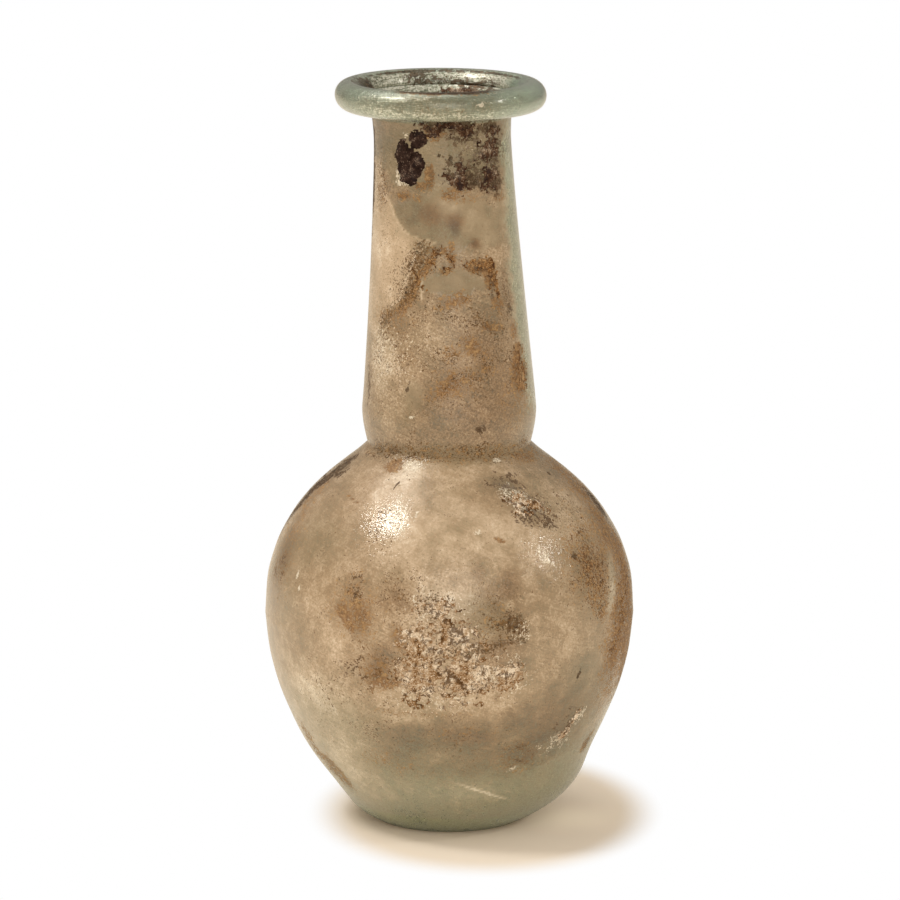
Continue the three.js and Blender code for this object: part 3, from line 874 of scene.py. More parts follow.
@dataclass
class Weathering:
    """All that burial left on the glass, with painted glints and shade: where the film is thick, warm or
    worn, and each stain on it.
    """

    outline: Outline
    seed: int = 11
    worn: Limits = (5.0, 34.0)
    green_foot: Limits = (0.8, 5.0)
    rim_blend: float = 0.6
    crease_blend: float = 1.5
    crest: Limits = (0.7, 0.3)
    edge_grains: Limits = (3.2, 0.9)

    def __post_init__(self) -> None:
        """Gathers the stains of the side that the photograph shows and makes up those of the unseen back."""
        draw = np.random.default_rng(self.seed)
        unseen = (*UNSEEN_SPOTS.stains(draw), *UNSEEN_CLOUDS.stains(draw), UNSEEN_CALM)
        wall = (*NECK_STAINS, *BODY_STAINS, *RIM_STAINS, *unseen)
        self.stains = {Face.OUTSIDE: wall, Face.INSIDE: (), Face.MOUTH: MOUTH_STAINS}

    def base_layers(self, height: Array, face: Face) -> dict[Layer, Array]:
        """The film before its stains.

        Args:
            height: above the resting surface.
            face: which side of the glass it is.

        Returns:
            Each layer's amount at each place.
        """
        wear = smoothstep(*self.worn, height)
        if face is Face.INSIDE:
            film = {COVER: 0.08 + 0.1 * wear, WARMTH: 0.3, LIGHT: 0.5, GRAIN: 0.2}
        elif face is Face.MOUTH:
            low, high = (self.outline.top - drop for drop in self.crest)
            film = {COVER: 0.95 - 0.45 * smoothstep(low, high, height), WARMTH: 0.35, LIGHT: 0.5, GRAIN: 1.0}
        else:
            top, crease = self.outline.neck_top, self.outline.crease_height
            rim = smoothstep(top - self.rim_blend, top, height)
            neck = smoothstep(crease - self.crease_blend, crease + self.crease_blend, height)
            wall_and_rim = {
                COVER: (0.56 + 0.4 * wear, 0.34),
                WARMTH: (0.15 + 0.45 * wear - 0.05 * neck, 0.2),
                LIGHT: (0.44 + 0.13 * wear - 0.1 * neck, 0.5),
                GRAIN: (0.4 + 0.2 * wear + 0.4 * neck, 0.6),
            }
            film = {layer: wall * (1.0 - rim) + roll * rim for layer, (wall, roll) in wall_and_rim.items()}
            film[OLIVE] = 0.35 * (1.0 - smoothstep(*self.green_foot, height)) + 0.12 * (1.0 - wear)
        return {layer: np.zeros_like(height) + film.get(layer, 0.0) for layer in Layer}

    def paint(self, mesh: bpy.types.Mesh, places: Array, faces: Sequence[Face]) -> None:
        """Writes each layer as an attribute of a mesh.

        Args:
            mesh: what is painted.
            places: azimuth in radians, radius and height of each vertex.
            faces: which side of the glass each vertex is on.
        """
        azimuth, _, height = places.T
        radius = self.outline.outer_radius(np.minimum(height, self.outline.neck_top))
        points = around(azimuth, radius, height)
        coarse, fine = self.edge_grains
        ragged = rough_field(points, coarse) + 0.5 * rough_field(points, fine, seed=7.0)
        sides = np.array([face.value for face in faces])
        painted = {layer: np.zeros(len(height)) for layer in Layer}
        for face, listed in self.stains.items():
            chosen = sides == face.value
            if not chosen.any():
                continue
            layers = self.base_layers(height[chosen], face)
            for stain in listed:
                amount = stain.amount(azimuth[chosen], height[chosen], radius[chosen], ragged[chosen])
                layers[stain.layer] = overlay(layers[stain.layer], amount)
            for layer, values in layers.items():
                painted[layer][chosen] = values
        for layer, values in painted.items():
            write_attribute(mesh, layer.value, values)


class NodeBench:
    """Adds and links nodes in one tree."""

    def __init__(self, tree: bpy.types.NodeTree) -> None:
        """Starts from an empty tree."""
        self.tree = tree
        tree.nodes.clear()

    def add(
        self, kind: str, *feeds: object, settings: Optional[dict[str, object]] = None, **named: object
    ) -> bpy.types.Node:
        """Adds a node.

        Args:
            kind: its type.
            feeds: a number, colour or socket for each of its first inputs, in order.
            settings: its properties.
            named: the same for other inputs, by their names with _ for a space.

        Returns:
            The node.
        """
        node = self.tree.nodes.new(kind)
        for name, setting in (settings or {}).items():
            setattr(node, name, setting)
        for socket, feed in zip(node.inputs, feeds):
            self.feed(socket, feed)
        for name, feed in named.items():
            self.feed(node.inputs[name.replace("_", " ")], feed)
        return node

    def result(self, kind: str, *feeds: object, **named: object) -> Socket:
        """The first output of a new node, which is added as above."""
        return self.add(kind, *feeds, **named).outputs[0]

    def feed(self, socket: Socket, feed: object) -> None:
        """Links a socket to what feeds it, or sets its value.

        Args:
            socket: a node's input.
            feed: a socket, a number, or a tuple with a colour or a vector.
        """
        if isinstance(feed, bpy.types.NodeSocket):
            self.tree.links.new(feed, socket)
        elif isinstance(feed, tuple) and socket.type == "RGBA":
            socket.default_value = (*feed, 1.0)
        else:
            socket.default_value = feed

    def math(self, operation: str, first: Feed, second: Feed = 0.0, clamp: bool = False) -> Socket:
        """The result of a sum on two numbers."""
        settings = {"operation": operation, "use_clamp": clamp}
        return self.result("ShaderNodeMath", first, second, settings=settings)

    def total(self, *feeds: Feed) -> Socket:
        """The sum of several numbers."""
        return reduce(partial(self.math, "ADD"), feeds)

    def largest(self, *feeds: Feed) -> Socket:
        """The largest of several numbers."""
        return reduce(partial(self.math, "MAXIMUM"), feeds)

    def scaled(self, feed: Feed, factor: Feed) -> Socket:
        """One number times another."""
        return self.math("MULTIPLY", feed, factor)

    def stir(self, *textures: tuple[Feed, float]) -> Socket:
        """The sum of textures, each turned from 0 to 1 into minus to plus its reach."""
        moved = ((self.math("SUBTRACT", texture, 0.5), 2.0 * reach) for texture, reach in textures)
        return self.total(*(self.scaled(*pair) for pair in moved))

    def step(self, feed: Feed, low: float, high: float, start: float = 0.0, end: float = 1.0) -> Socket:
        """Rises smoothly from start at low to end at high."""
        settings = {"interpolation_type": "SMOOTHSTEP"}
        return self.result("ShaderNodeMapRange", feed, low, high, start, end, settings=settings)

    def between(self, kind: str, amount: Feed, first: object, second: object) -> Socket:
        """A value between two others, by the mix node's names for its sockets.

        Args:
            kind: Color or Float.
            amount: from 0 for the first to 1 for the second.
            first: a value.
            second: another.

        Returns:
            The mixed value.
        """
        data_type = {"Color": "RGBA", "Float": "FLOAT"}[kind]
        node = self.add("ShaderNodeMix", settings={"data_type": data_type, "clamp_factor": True})
        feeds = {"Factor_Float": amount, f"A_{kind}": first, f"B_{kind}": second}
        for socket in node.inputs:
            if socket.identifier in feeds:
                self.feed(socket, feeds[socket.identifier])
        return next(socket for socket in node.outputs if socket.identifier == f"Result_{kind}")

    def mix(self, amount: Feed, first: Union[Colour, Socket], second: Union[Colour, Socket]) -> Socket:
        """A colour between two others."""
        return self.between("Color", amount, first, second)

    def blend(self, amount: Feed, first: Feed, second: Feed) -> Socket:
        """A number between two others."""
        return self.between("Float", amount, first, second)

    def ramp(self, level: Feed, stops: Ramp) -> Socket:
        """Looks a colour up.

        Args:
            level: where on the ramp, 0 to 1.
            stops: a position and a colour each.

        Returns:
            The colour there.
        """
        node = self.add("ShaderNodeValToRGB", level)
        elements = node.color_ramp.elements
        for index, (position, *colour) in enumerate(stops):
            element = elements[index] if index < len(elements) else elements.new(position)
            element.position = position
            element.color = (*colour, 1.0)
        return node.outputs["Color"]

    def value_of(self, name: str) -> Socket:
        """The value of a named attribute here."""
        return self.add("ShaderNodeAttribute", settings={"attribute_name": name}).outputs["Fac"]

    def layer(self, layer: Layer) -> Socket:
        """How much of a weathering layer lies here."""
        return self.value_of(layer.value)

    def place(self) -> Socket:
        """The place on the object, in metres."""
        return self.add("ShaderNodeTexCoord").outputs["Object"]

    def vector(self, operation: str, first: object, second: object) -> bpy.types.Node:
        """A node that works on two vectors."""
        return self.add("ShaderNodeVectorMath", first, second, settings={"operation": operation})

    def lumps(self, size: float, detail: float = 4.0, rough: float = 0.55, twist: float = 0.0) -> Socket:
        """Noise whose lumps have a size in millimetres."""
        feeds = {"Scale": 1.0 / (size * MM), "Detail": detail, "Roughness": rough, "Distortion": twist}
        return self.add("ShaderNodeTexNoise", self.place(), **feeds).outputs["Fac"]

    def streaks(self, length: float, width: float, tilt: float) -> Socket:
        """Noise drawn out along one slanting direction.

        Args:
            length: of a streak, in millimetres.
            width: of a streak, in millimetres.
            tilt: how far the streaks slant from level, in degrees.

        Returns:
            The noise, 0 to 1.
        """
        settings, angle = {"rotation_type": "Y_AXIS"}, math.radians(tilt)
        turned = self.result("ShaderNodeVectorRotate", self.place(), settings=settings, Angle=angle)
        along, across = 1.0 / (length * MM), 1.0 / (width * MM)
        drawn = self.vector("MULTIPLY", turned, (along, along, across)).outputs[0]
        return self.add("ShaderNodeTexNoise", drawn, Scale=1.0, Detail=3.0).outputs["Fac"]

    def hairlines(self, texture: Socket, core: float, edge: float) -> Socket:
        """1 on the lines where a texture passes its middle, 0 beyond their edge."""
        away = self.math("ABSOLUTE", self.math("SUBTRACT", texture, 0.5))
        return self.step(away, core, edge, 1.0, 0.0)

    def specks(self, size: float, rare: float, spread: float, share: Feed) -> Socket:
        """Specks up to a size in millimetres, where noise passes a level that their share lowers."""
        least = self.math("SUBTRACT", rare, self.scaled(share, spread))
        return self.step(self.math("SUBTRACT", self.lumps(size, 2.0, 0.6), least), 0.0, 0.05)

    def bump(self, height: Socket, strength: float, depth: float) -> Socket:
        """The normal of a relief whose depth is in millimetres."""
        return self.result("ShaderNodeBump", Strength=strength, Distance=depth * MM, Height=height)


@dataclass(frozen=True)
class FilmedGlass:
    """Pale green glass under a weathering film, with the stains, specks and painted light its layers call
    for.
    """

    name: str
    glass: Colour = (0.71, 0.72, 0.48)
    cool: Ramp = (
        (0, 0.1, 0.064, 0.032), (0.3, 0.235, 0.167, 0.09), (0.55, 0.365, 0.268, 0.16),
        (0.8, 0.57, 0.455, 0.31), (1, 0.82, 0.71, 0.55),
    )
    warm: Ramp = (
        (0, 0.12, 0.057, 0.024), (0.3, 0.288, 0.168, 0.08), (0.55, 0.45, 0.298, 0.17),
        (0.8, 0.66, 0.49, 0.33), (1, 0.89, 0.745, 0.58),
    )
    rust: Ramp = ((0, 0.08, 0.035, 0.014), (0.5, 0.25, 0.125, 0.05), (1, 0.5, 0.31, 0.145))
    dark: Ramp = ((0, 0.012, 0.006, 0.003), (0.45, 0.05, 0.026, 0.014), (1, 0.19, 0.125, 0.078))
    # The cream of the flakes, also used for the glints and highlights painted on the glass
    flakes: Colour = (0.88, 0.77, 0.61)
    olive: Colour = (0.195, 0.155, 0.07)
    pits: Ramp = ((0, 0.03, 0.012, 0.004), (0.45, 0.125, 0.06, 0.021), (1, 0.29, 0.165, 0.065))
    clear_roughness: float = 0.1
    film_roughness: float = 0.5
    metal: float = 0.0
    gloss: float = 0.8
    sheen: float = 0.1
    relief: float = 0.25
    grit: float = 0.38
    swirl: float = 0.34
    streak_length: float = 5.0
    streak_width: float = 0.22
    streak_tilt: float = -22.0
    streak_share: float = 0.16
    speck_scale: float = 1.0
    clear: float = 0.97
    glass_index: float = 1.48
    film_index: float = 1.65

    def build(self) -> bpy.types.Material:
        """Makes the material.

        Returns:
            The material, which reads the weathering layers of its mesh.
        """
        material, bench = new_material(self.name)
        film = FilmNodes(self, bench)
        cover = film.cover()
        skin = bench.scaled(bench.total(film.patch, film.grain), film.coarseness)
        raised = bench.total(bench.scaled(cover, 0.15), skin, bench.scaled(film.stained, 0.3))
        height = bench.total(raised, bench.stir((film.streaks, self.streak_share)))
        dulled = bench.scaled(film.matt, self.gloss)
        shader = bench.result(
            "ShaderNodeBsdfPrincipled",
            Base_Color=bench.mix(cover, self.glass, film.colour()),
            Metallic=bench.scaled(cover, self.metal) if self.metal else 0.0,
            Roughness=bench.blend(cover, self.clear_roughness, self.film_roughness),
            Transmission_Weight=bench.math("SUBTRACT", self.clear, bench.scaled(cover, 0.94), clamp=True),
            Specular_IOR_Level=bench.blend(film.stained, 0.35, 0.1),
            Coat_Weight=bench.math("SUBTRACT", self.gloss, dulled, clamp=True),
            Coat_Roughness=self.sheen,
            Coat_IOR=self.film_index,
            IOR=self.glass_index,
            Normal=bench.bump(height, 0.6, self.relief),
            Coat_Normal=bench.bump(skin, 0.42, self.relief),
        )
        bench.add("ShaderNodeOutputMaterial", shader)
        return material


class FilmNodes:
    """The nodes of one film: its noises, how much of each layer shows, its colour and its cover."""

    def __init__(self, look: FilmedGlass, bench: NodeBench) -> None:
        """Adds the noises and works out how much of each layer shows.

        Args:
            look: the film's colours and measures.
            bench: where the nodes are added.
        """
        self.look, self.bench = look, bench
        self.mottle, self.curl = bench.lumps(2.4, 5.0, 0.62, 0.5), bench.lumps(1.3, 4.0, 0.62, 2.4)
        self.patch, self.grain = bench.lumps(0.85, 3.0, 0.65, 0.3), bench.lumps(0.4, 2.0, 0.7)
        self.streaks = bench.streaks(look.streak_length, look.streak_width, look.streak_tilt)
        self.drift = bench.stir((bench.lumps(9.0, 3.0), 0.5), (self.mottle, 0.35))
        self.coarseness = bench.layer(GRAIN)
        self.rust = self.ragged(RUST, 0.3, (0.6, 0.9, 1.3))
        self.dark = self.ragged(DARK, 0.16, (1.0, 1.2, 0.9))
        # Cream flakes, with the glints and highlights painted among them
        self.flakes = self.ragged(FLAKES, 0.06, (0.5, 0.9, 1.3))
        self.pits = self.pitting()
        self.matt = bench.largest(self.rust, self.dark, self.pits)
        self.stained = bench.largest(self.matt, self.flakes)

    def ragged(self, layer: Layer, wash: float, weights: tuple[float, float, float]) -> Socket:
        """A layer that noise breaks into grains, over a thin wash of itself.

        Args:
            layer: the layer.
            wash: how strongly the layer tints the film between its grains.
            weights: how strongly the coarse, middle and fine noise break the layer up.

        Returns:
            How much of the layer shows.
        """
        bench, amount = self.bench, self.bench.layer(layer)
        frayed = bench.stir(*zip((self.mottle, self.patch, self.grain), weights))
        grains = bench.step(bench.total(amount, frayed), 0.45, 0.62)
        washed = bench.step(bench.total(amount, bench.stir((self.patch, 0.4))), 0.0, 0.9)
        return bench.scaled(bench.step(amount, 0.02, 0.15), bench.largest(grains, bench.scaled(washed, wash)))

    def pitting(self) -> Socket:
        """Clusters of small brown pits, and curly hairlines among them.

        Returns:
            How much of the pits shows.
        """
        bench, scale = self.bench, self.look.speck_scale
        crowded = bench.step(bench.total(self.mottle, bench.stir((bench.lumps(5.5, 2.0), 0.5))), 0.42, 0.66)
        cluster = bench.scaled(self.coarseness, crowded)
        share = bench.total(bench.scaled(cluster, 0.4), bench.layer(PEPPER))
        tiny = bench.specks(0.3 * scale, 0.69, 0.22, share)
        fine = bench.specks(0.55 * scale, 0.725, 0.22, share)
        coarse = bench.specks(1.1 * scale, 0.78, 0.14, share)
        lines = bench.hairlines(bench.lumps(0.9, 2.0, 0.5, 1.2), 0.0, 0.03)
        broken = bench.scaled(lines, bench.step(bench.lumps(1.4, 2.0), 0.52, 0.62))
        hairs = bench.scaled(bench.scaled(broken, 0.5), cluster)
        return bench.largest(hairs, bench.scaled(tiny, 0.8), bench.scaled(fine, 0.9), coarse)

    def colour(self) -> Socket:
        """Colours the film between its cool and its warm ramp, and under its stains and painted light.

        Returns:
            The film's colour.
        """
        look, bench = self.look, self.bench
        swirls = ((self.curl, look.swirl), (self.mottle, look.swirl * 0.6))
        fine = bench.stir(*swirls, (self.grain, look.grit), (self.streaks, look.streak_share))
        clouds = bench.scaled(self.drift, 0.6)
        light = bench.total(bench.layer(LIGHT), clouds, bench.scaled(fine, self.coarseness))
        clouds = bench.scaled(self.drift, 0.45)
        uneven = bench.stir((self.patch, 0.16), (self.grain, 0.1))
        warmth = bench.step(bench.total(bench.layer(WARMTH), clouds, uneven), 0.1, 0.9)
        film = bench.mix(warmth, bench.ramp(light, look.cool), bench.ramp(light, look.warm))
        blotched = bench.total(1.0, bench.scaled(self.drift, 1.2))
        olive = bench.math("MULTIPLY", bench.layer(OLIVE), blotched, clamp=True)
        shade = bench.total(bench.stir((self.patch, 1.1), (self.grain, 0.7)), 0.5)
        tints = (
            (olive, 0.85, look.olive),
            (self.rust, 0.8, bench.ramp(shade, look.rust)),
            (self.flakes, 0.85, look.flakes),
            (self.dark, 0.9, bench.ramp(shade, look.dark)),
            (self.pits, 1.0, bench.ramp(shade, look.pits)),
        )
        for amount, strength, tint in tints:
            film = bench.mix(bench.scaled(amount, strength), film, tint)
        return film

    def cover(self) -> Socket:
        """How thick the film lies on the glass.

        Returns:
            From 0 where the glass is clear to 1 where the film hides it.
        """
        bench = self.bench
        uneven = bench.total(bench.scaled(self.drift, 0.4), bench.stir((self.grain, 0.2), (self.curl, 0.3)))
        thick = bench.step(bench.total(bench.layer(COVER), uneven), 0.0, 1.0)
        return bench.largest(thick, bench.scaled(self.stained, 0.95))


SAGE_COOL: Ramp = (
    (0, 0.08, 0.08, 0.05), (0.4, 0.235, 0.245, 0.17), (0.7, 0.42, 0.435, 0.33),
    (1, 0.84, 0.84, 0.72),
)
SAGE_WARM: Ramp = (
    (0, 0.11, 0.09, 0.052), (0.4, 0.28, 0.258, 0.17), (0.7, 0.5, 0.475, 0.35),
    (1, 0.9, 0.86, 0.72),
)
SILVER_COOL: Ramp = (
    (0, 0.045, 0.03, 0.026), (0.4, 0.19, 0.15, 0.13), (0.7, 0.52, 0.47, 0.42),
    (1, 0.95, 0.93, 0.9),
)
SILVER_WARM: Ramp = (
    (0, 0.055, 0.03, 0.022), (0.4, 0.22, 0.15, 0.11), (0.7, 0.56, 0.46, 0.36),
    (1, 0.95, 0.89, 0.8),
)


@dataclass(frozen=True)
class CrustFinish:
    """Matt burial crust: colour by its noise, its pits and the tone that each loose grain has."""

    name: str
    slot: str
    tones: Ramp
    pit: Colour
    grain: float = 0.5
    plates: float = 2.0
    roughness: float = 0.85

    def build(self) -> bpy.types.Material:
        """Makes the material.

        Returns:
            The material, which reads the crust's relief, pits and tone.
        """
        material, bench = new_material(self.name)
        mottle, patch = bench.lumps(self.plates, 5.0, 0.65, 0.6), bench.lumps(self.grain, 4.0, 0.7)
        grain = bench.lumps(0.17, 2.0)
        uneven = bench.stir((mottle, 1.45), (patch, 0.6), (grain, 0.5))
        raised = bench.scaled(bench.value_of("relief"), 0.25)
        level = bench.total(raised, uneven, bench.value_of("tone"), 0.4)
        seams = bench.hairlines(bench.lumps(1.5, 3.0, 0.6, 1.0), 0.012, 0.05)
        cracks = bench.scaled(seams, bench.step(mottle, 0.44, 0.54))
        holes = bench.largest(cracks, bench.step(patch, 0.635, 0.7))
        pitted = bench.math("ADD", bench.value_of("pits"), holes, clamp=True)
        height = bench.total(patch, bench.scaled(grain, 0.7), bench.scaled(mottle, 0.6))
        shader = bench.result(
            "ShaderNodeBsdfPrincipled",
            Base_Color=bench.mix(bench.scaled(pitted, 0.8), bench.ramp(level, self.tones), self.pit),
            Roughness=bench.blend(grain, self.roughness - 0.15, self.roughness + 0.1),
            Specular_IOR_Level=0.1,
            Normal=bench.bump(height, 0.7, 0.1),
        )
        bench.add("ShaderNodeOutputMaterial", shader)
        return material


def new_material(name: str) -> tuple[bpy.types.Material, NodeBench]:
    """Makes an empty node material.

    Args:
        name: the material's.

    Returns:
        The material, and the bench that fills it.
    """
    material = bpy.data.materials.new(name)
    material.use_nodes = True
    return material, NodeBench(material.node_tree)


def open_joint() -> bpy.types.Material:
    """The flat face where two lengths of one gather meet.

    Returns:
        A material that light passes straight through.
    """
    material, bench = new_material("open_joint")
    clear = bench.result("ShaderNodeBsdfTransparent", (1.0, 1.0, 1.0))
    bench.add("ShaderNodeOutputMaterial", clear)
    return material


def link(name: str, data: bpy.types.ID) -> bpy.types.Object:
    """Makes an object and links it to the scene.

    Args:
        name: the object's.
        data: its mesh, lamp or camera data.

    Returns:
        The object.
    """
    made = bpy.data.objects.new(name, data)
    bpy.context.scene.collection.objects.link(made)
    return made


def write_attribute(mesh: bpy.types.Mesh, name: str, values: Array) -> None:
    """Writes one value for each vertex of a mesh."""
    mesh.attributes.new(name, "FLOAT", "POINT").data.foreach_set("value", values.astype(np.float32))


def new_object(
    name: str, points: Array, faces: Sequence[Sequence[int]], smooth_angle: float = 40.0
) -> bpy.types.Object:
    """Makes an object from points in millimetres.

    Args:
        name: the object's.
        points: one row for each vertex.
        faces: vertex indices, counterclockwise from outside.
        smooth_angle: edges sharper than this many degrees stay crisp.

    Returns:
        The object, linked to the scene, with its place in its mesh.
    """
    mesh = bpy.data.meshes.new(name)
    mesh.from_pydata((points * MM).tolist(), [], faces)
    mesh.update()
    mesh.polygons.foreach_set("use_smooth", np.ones(len(mesh.polygons), bool))
    mesh.set_sharp_from_angle(angle=math.radians(smooth_angle))
    return link(name, mesh)


@dataclass
class Profile:
    """A section to be turned: points, and what the span after each point is."""

    points: list[Array] = field(default_factory=list)
    faces: list[Face] = field(default_factory=list)

    def add(self, points: Array, face: Face, leads_to: Optional[Face] = None) -> "Profile":
        """Adds a run of points to the section.

        Args:
            points: one (radius, height) row for each.
            face: what the run lies on.
            leads_to: what the span after its last point is, if not the same.

        Returns:
            The profile, for the next run.
        """
        self.points.append(np.atleast_2d(points))
        self.faces += [face] * (len(self.points[-1]) - 1) + [leads_to or face]
        return self

    def turn(self, name: str, outline: Outline, sides: int, weathering: Weathering) -> bpy.types.Object:
        """Turns the section into a closed body and paints its weathering.

        Args:
            name: the body's.
            outline: gives the lean and the unevenness.
            sides: how many sides the body has.
            weathering: what is painted on it.

        Returns:
            The body.
        """
        section = np.concatenate(self.points)
        on_axis = section[:, 0] < 1e-6
        counts = np.where(on_axis, 1, sides)
        starts = np.concatenate([[0], np.cumsum(counts)]).tolist()
        turns = np.concatenate([np.arange(count) for count in counts]) * 2 * math.pi / sides
        spots = np.column_stack([turns, np.repeat(section, counts, axis=0)])
        sides_of = [self.side_at(index) for index, count in enumerate(counts) for _ in range(count)]
        faces, kinds = [], []
        for index in range(len(section) - int(on_axis.any())):
            after = (index + 1) % len(section)
            for side in range(sides):
                following = (side + 1) % sides
                low = [starts[index]] if on_axis[index] else [starts[index] + n for n in (side, following)]
                high = [starts[after]] if on_axis[after] else [starts[after] + n for n in (following, side)]
                faces.append(low + high)
                kinds.append(self.faces[index].value)
        body = new_object(name, outline.place(*spots.T), faces)
        body.data.polygons.foreach_set("material_index", np.array(kinds, np.int32))
        weathering.paint(body.data, spots, sides_of)
        return body

    def side_at(self, index: int) -> Face:
        """Which side of the glass a point of the section is on.

        Args:
            index: the point's.

        Returns:
            The outside, the inside or the mouth.
        """
        beside = (self.faces[index], self.faces[index - 1])
        if beside[0] is Face.MOUTH or beside == (Face.JOINT, Face.MOUTH):
            return Face.MOUTH
        return Face.INSIDE if Face.INSIDE in beside else Face.OUTSIDE


def even_heights(outline: Outline, low: float, high: float, spacing: float, pair: float = 0.04) -> Array:
    """Heights of rings that lie evenly along the outline, with a close pair at each end.

    Args:
        outline: the flask's.
        low: the first height.
        high: the last height.
        spacing: the way along the outline from ring to ring.
        pair: how close a pair is.

    Returns:
        The heights, from low to high.
    """
    fine = np.linspace(low, high, 2000)
    steps = np.hypot(np.diff(fine), np.diff(outline.outer_radius(fine)))
    along = np.concatenate([[0.0], np.cumsum(steps)])
    count = int(along[-1] / spacing)
    heights = np.interp(np.linspace(0, along[-1], count + 1), along, fine)
    return np.concatenate([heights[:1], [low + pair], heights[1:-1], [high - pair], heights[-1:]])


@dataclass
class GlassBody:
    """The blown glass: base, body, neck, flare and rolled rim, each a closed piece of one gather.

    The places along the roll are angles in degrees from outwards.
    """

    outline: Outline
    weathering: Weathering
    body_sides: int = 420
    neck_sides: int = 320
    rim_sides: int = 192
    ring_spacing: float = 0.45
    inside_spacing: float = 3.0
    heel_crowding: float = 1.5
    floor_turn: int = 8
    roll_from: float = -128.0
    channel_to: float = -170.0
    mouth_from: float = 100.0
    fold_to: float = 172.0
    tip_share: float = 1.62
    scar_radius: float = 5.2
    scar_width: float = 2.2
    scar_height: float = 0.7
    scar_notch: float = 0.25
    scar_sunk: float = 0.05
    scar_sides: int = 96
    chip_grain: float = 1.1
    chip_reach: float = 0.16
    chip_drop: float = 2.2

    def wall(self, name: str, low: float, high: float, wall: float, sides: int) -> bpy.types.Object:
        """A tubular length of the blown wall.

        Args:
            name: the piece's.
            low: its lower end's height.
            high: its upper end's height.
            wall: its thickness.
            sides: how many sides it has.

        Returns:
            The piece.
        """
        rise = even_heights(self.outline, low, high, self.ring_spacing)
        fall = even_heights(self.outline, low, high, self.inside_spacing)[::-1]
        outside = np.stack([self.outline.outer_radius(rise), rise], -1)
        inside = np.stack([self.outline.inner_radius(fall, wall), fall], -1)
        profile = Profile().add(outside, Face.OUTSIDE, Face.JOINT).add(inside, Face.INSIDE, Face.JOINT)
        return profile.turn(name, self.outline, sides, self.weathering)

    def base(self) -> bpy.types.Object:
        """The kicked floor with its flat resting ring and the heel that turns up to the body.

        Returns:
            The piece.
        """
        outline = self.outline
        heel_height = outline.heel_height
        under = np.linspace(0, outline.resting_radius - outline.resting_width, 28)
        underside = np.stack([under, outline.kick(under)], -1)
        rise = heel_height * np.linspace(0, 1, 16) ** self.heel_crowding
        heel = np.stack([outline.outer_radius(rise), rise], -1)
        share = np.linspace(1, 0, 30)
        radius = outline.inner_at(heel_height, outline.body_wall) * share
        lift = (heel_height - outline.floor_thickness) * share**self.floor_turn
        floor = np.stack([radius, outline.kick(radius) + outline.floor_thickness + lift], -1)
        profile = Profile().add(underside, Face.OUTSIDE).add(heel, Face.OUTSIDE, Face.JOINT)
        profile.add(floor, Face.INSIDE)
        return profile.turn("base_glass", outline, self.body_sides, self.weathering)

    def flare(self) -> bpy.types.Object:
        """The neck's wall turning outwards under the roll, up to the roll's outermost line.

        Returns:
            The piece.
        """
        outline, wall = self.outline, self.outline.fold_wall
        bore = outline.mouth_bore()[::-1]
        corner = np.array([outline.outer_at(outline.neck_top), outline.neck_top])
        under_roll = outline.roll_arc(outline.roll_radius, self.roll_from, 0, 34)
        bend = np.array([corner, corner + (wall / 3, wall / 2), under_roll[0]])
        outside = np.concatenate([rounded(bend, 2), under_roll[1:]])
        channel = outline.roll_arc(outline.roll_radius - wall, 0, self.channel_to, 28)
        profile = Profile().add(outside, Face.OUTSIDE, Face.JOINT).add(channel, Face.INSIDE, Face.MOUTH)
        profile.add(bore, Face.MOUTH, Face.JOINT)
        return profile.turn("mouth_flare_glass", outline, self.rim_sides, self.weathering)

    def fold(self) -> bpy.types.Object:
        """The wall turning back over the roll and down into the mouth, with a rounded edge.

        Returns:
            The piece.
        """
        outline = self.outline
        outside = outline.roll_arc(outline.roll_radius, 0, self.mouth_from, 30)
        turned_in = outline.roll_arc(outline.roll_radius, self.mouth_from, self.fold_to, 26)
        channel = outline.roll_arc(outline.roll_radius - outline.fold_wall, self.fold_to, 0, 30)
        tip = self.tip_arc(turned_in[-1], channel[0])
        profile = Profile().add(outside, Face.OUTSIDE, Face.MOUTH)
        profile.add(np.concatenate([turned_in[1:-1], tip]), Face.MOUTH)
        profile.add(channel[1:], Face.INSIDE, Face.JOINT)
        return profile.turn("folded_rim_glass", outline, self.rim_sides, self.weathering)

    def tip_arc(self, start: Array, end: Array, steps: int = 8) -> Array:
        """The rounded edge of the fold, from its outer face to its inner one.

        Args:
            start: the outer face's last point.
            end: the inner face's first point.
            steps: how many spans the edge has.

        Returns:
            One (radius, height) row for each point.
        """
        middle, reach = (start + end) / 2, (start - end) / 2
        ahead = np.array([-reach[1], reach[0]]) * self.tip_share / 2
        angle = np.linspace(0, math.pi, steps + 1)[:, None]
        return middle + reach * np.cos(angle) + ahead * np.sin(angle)

    def scar(self) -> bpy.types.Object:
        """The rough ring of glass that the working rod left under the base.

        Returns:
            The piece.
        """
        angle = np.linspace(0, math.pi, 13)
        radius = self.scar_radius - self.scar_width / 2 * np.cos(angle)
        bed = self.outline.kick(radius) - self.scar_sunk
        drop = self.scar_height * np.sin(angle) * (1.0 + self.scar_notch * np.cos(3 * angle))
        under = np.stack([radius, bed - drop], -1)
        top = np.stack([radius, bed], -1)[::-1][1:-1]
        profile = Profile().add(np.concatenate([under, top])[::-1], Face.OUTSIDE)
        scar = profile.turn("pontil_scar_glass", self.outline, self.scar_sides, self.weathering)
        self.roughen(scar)
        return scar

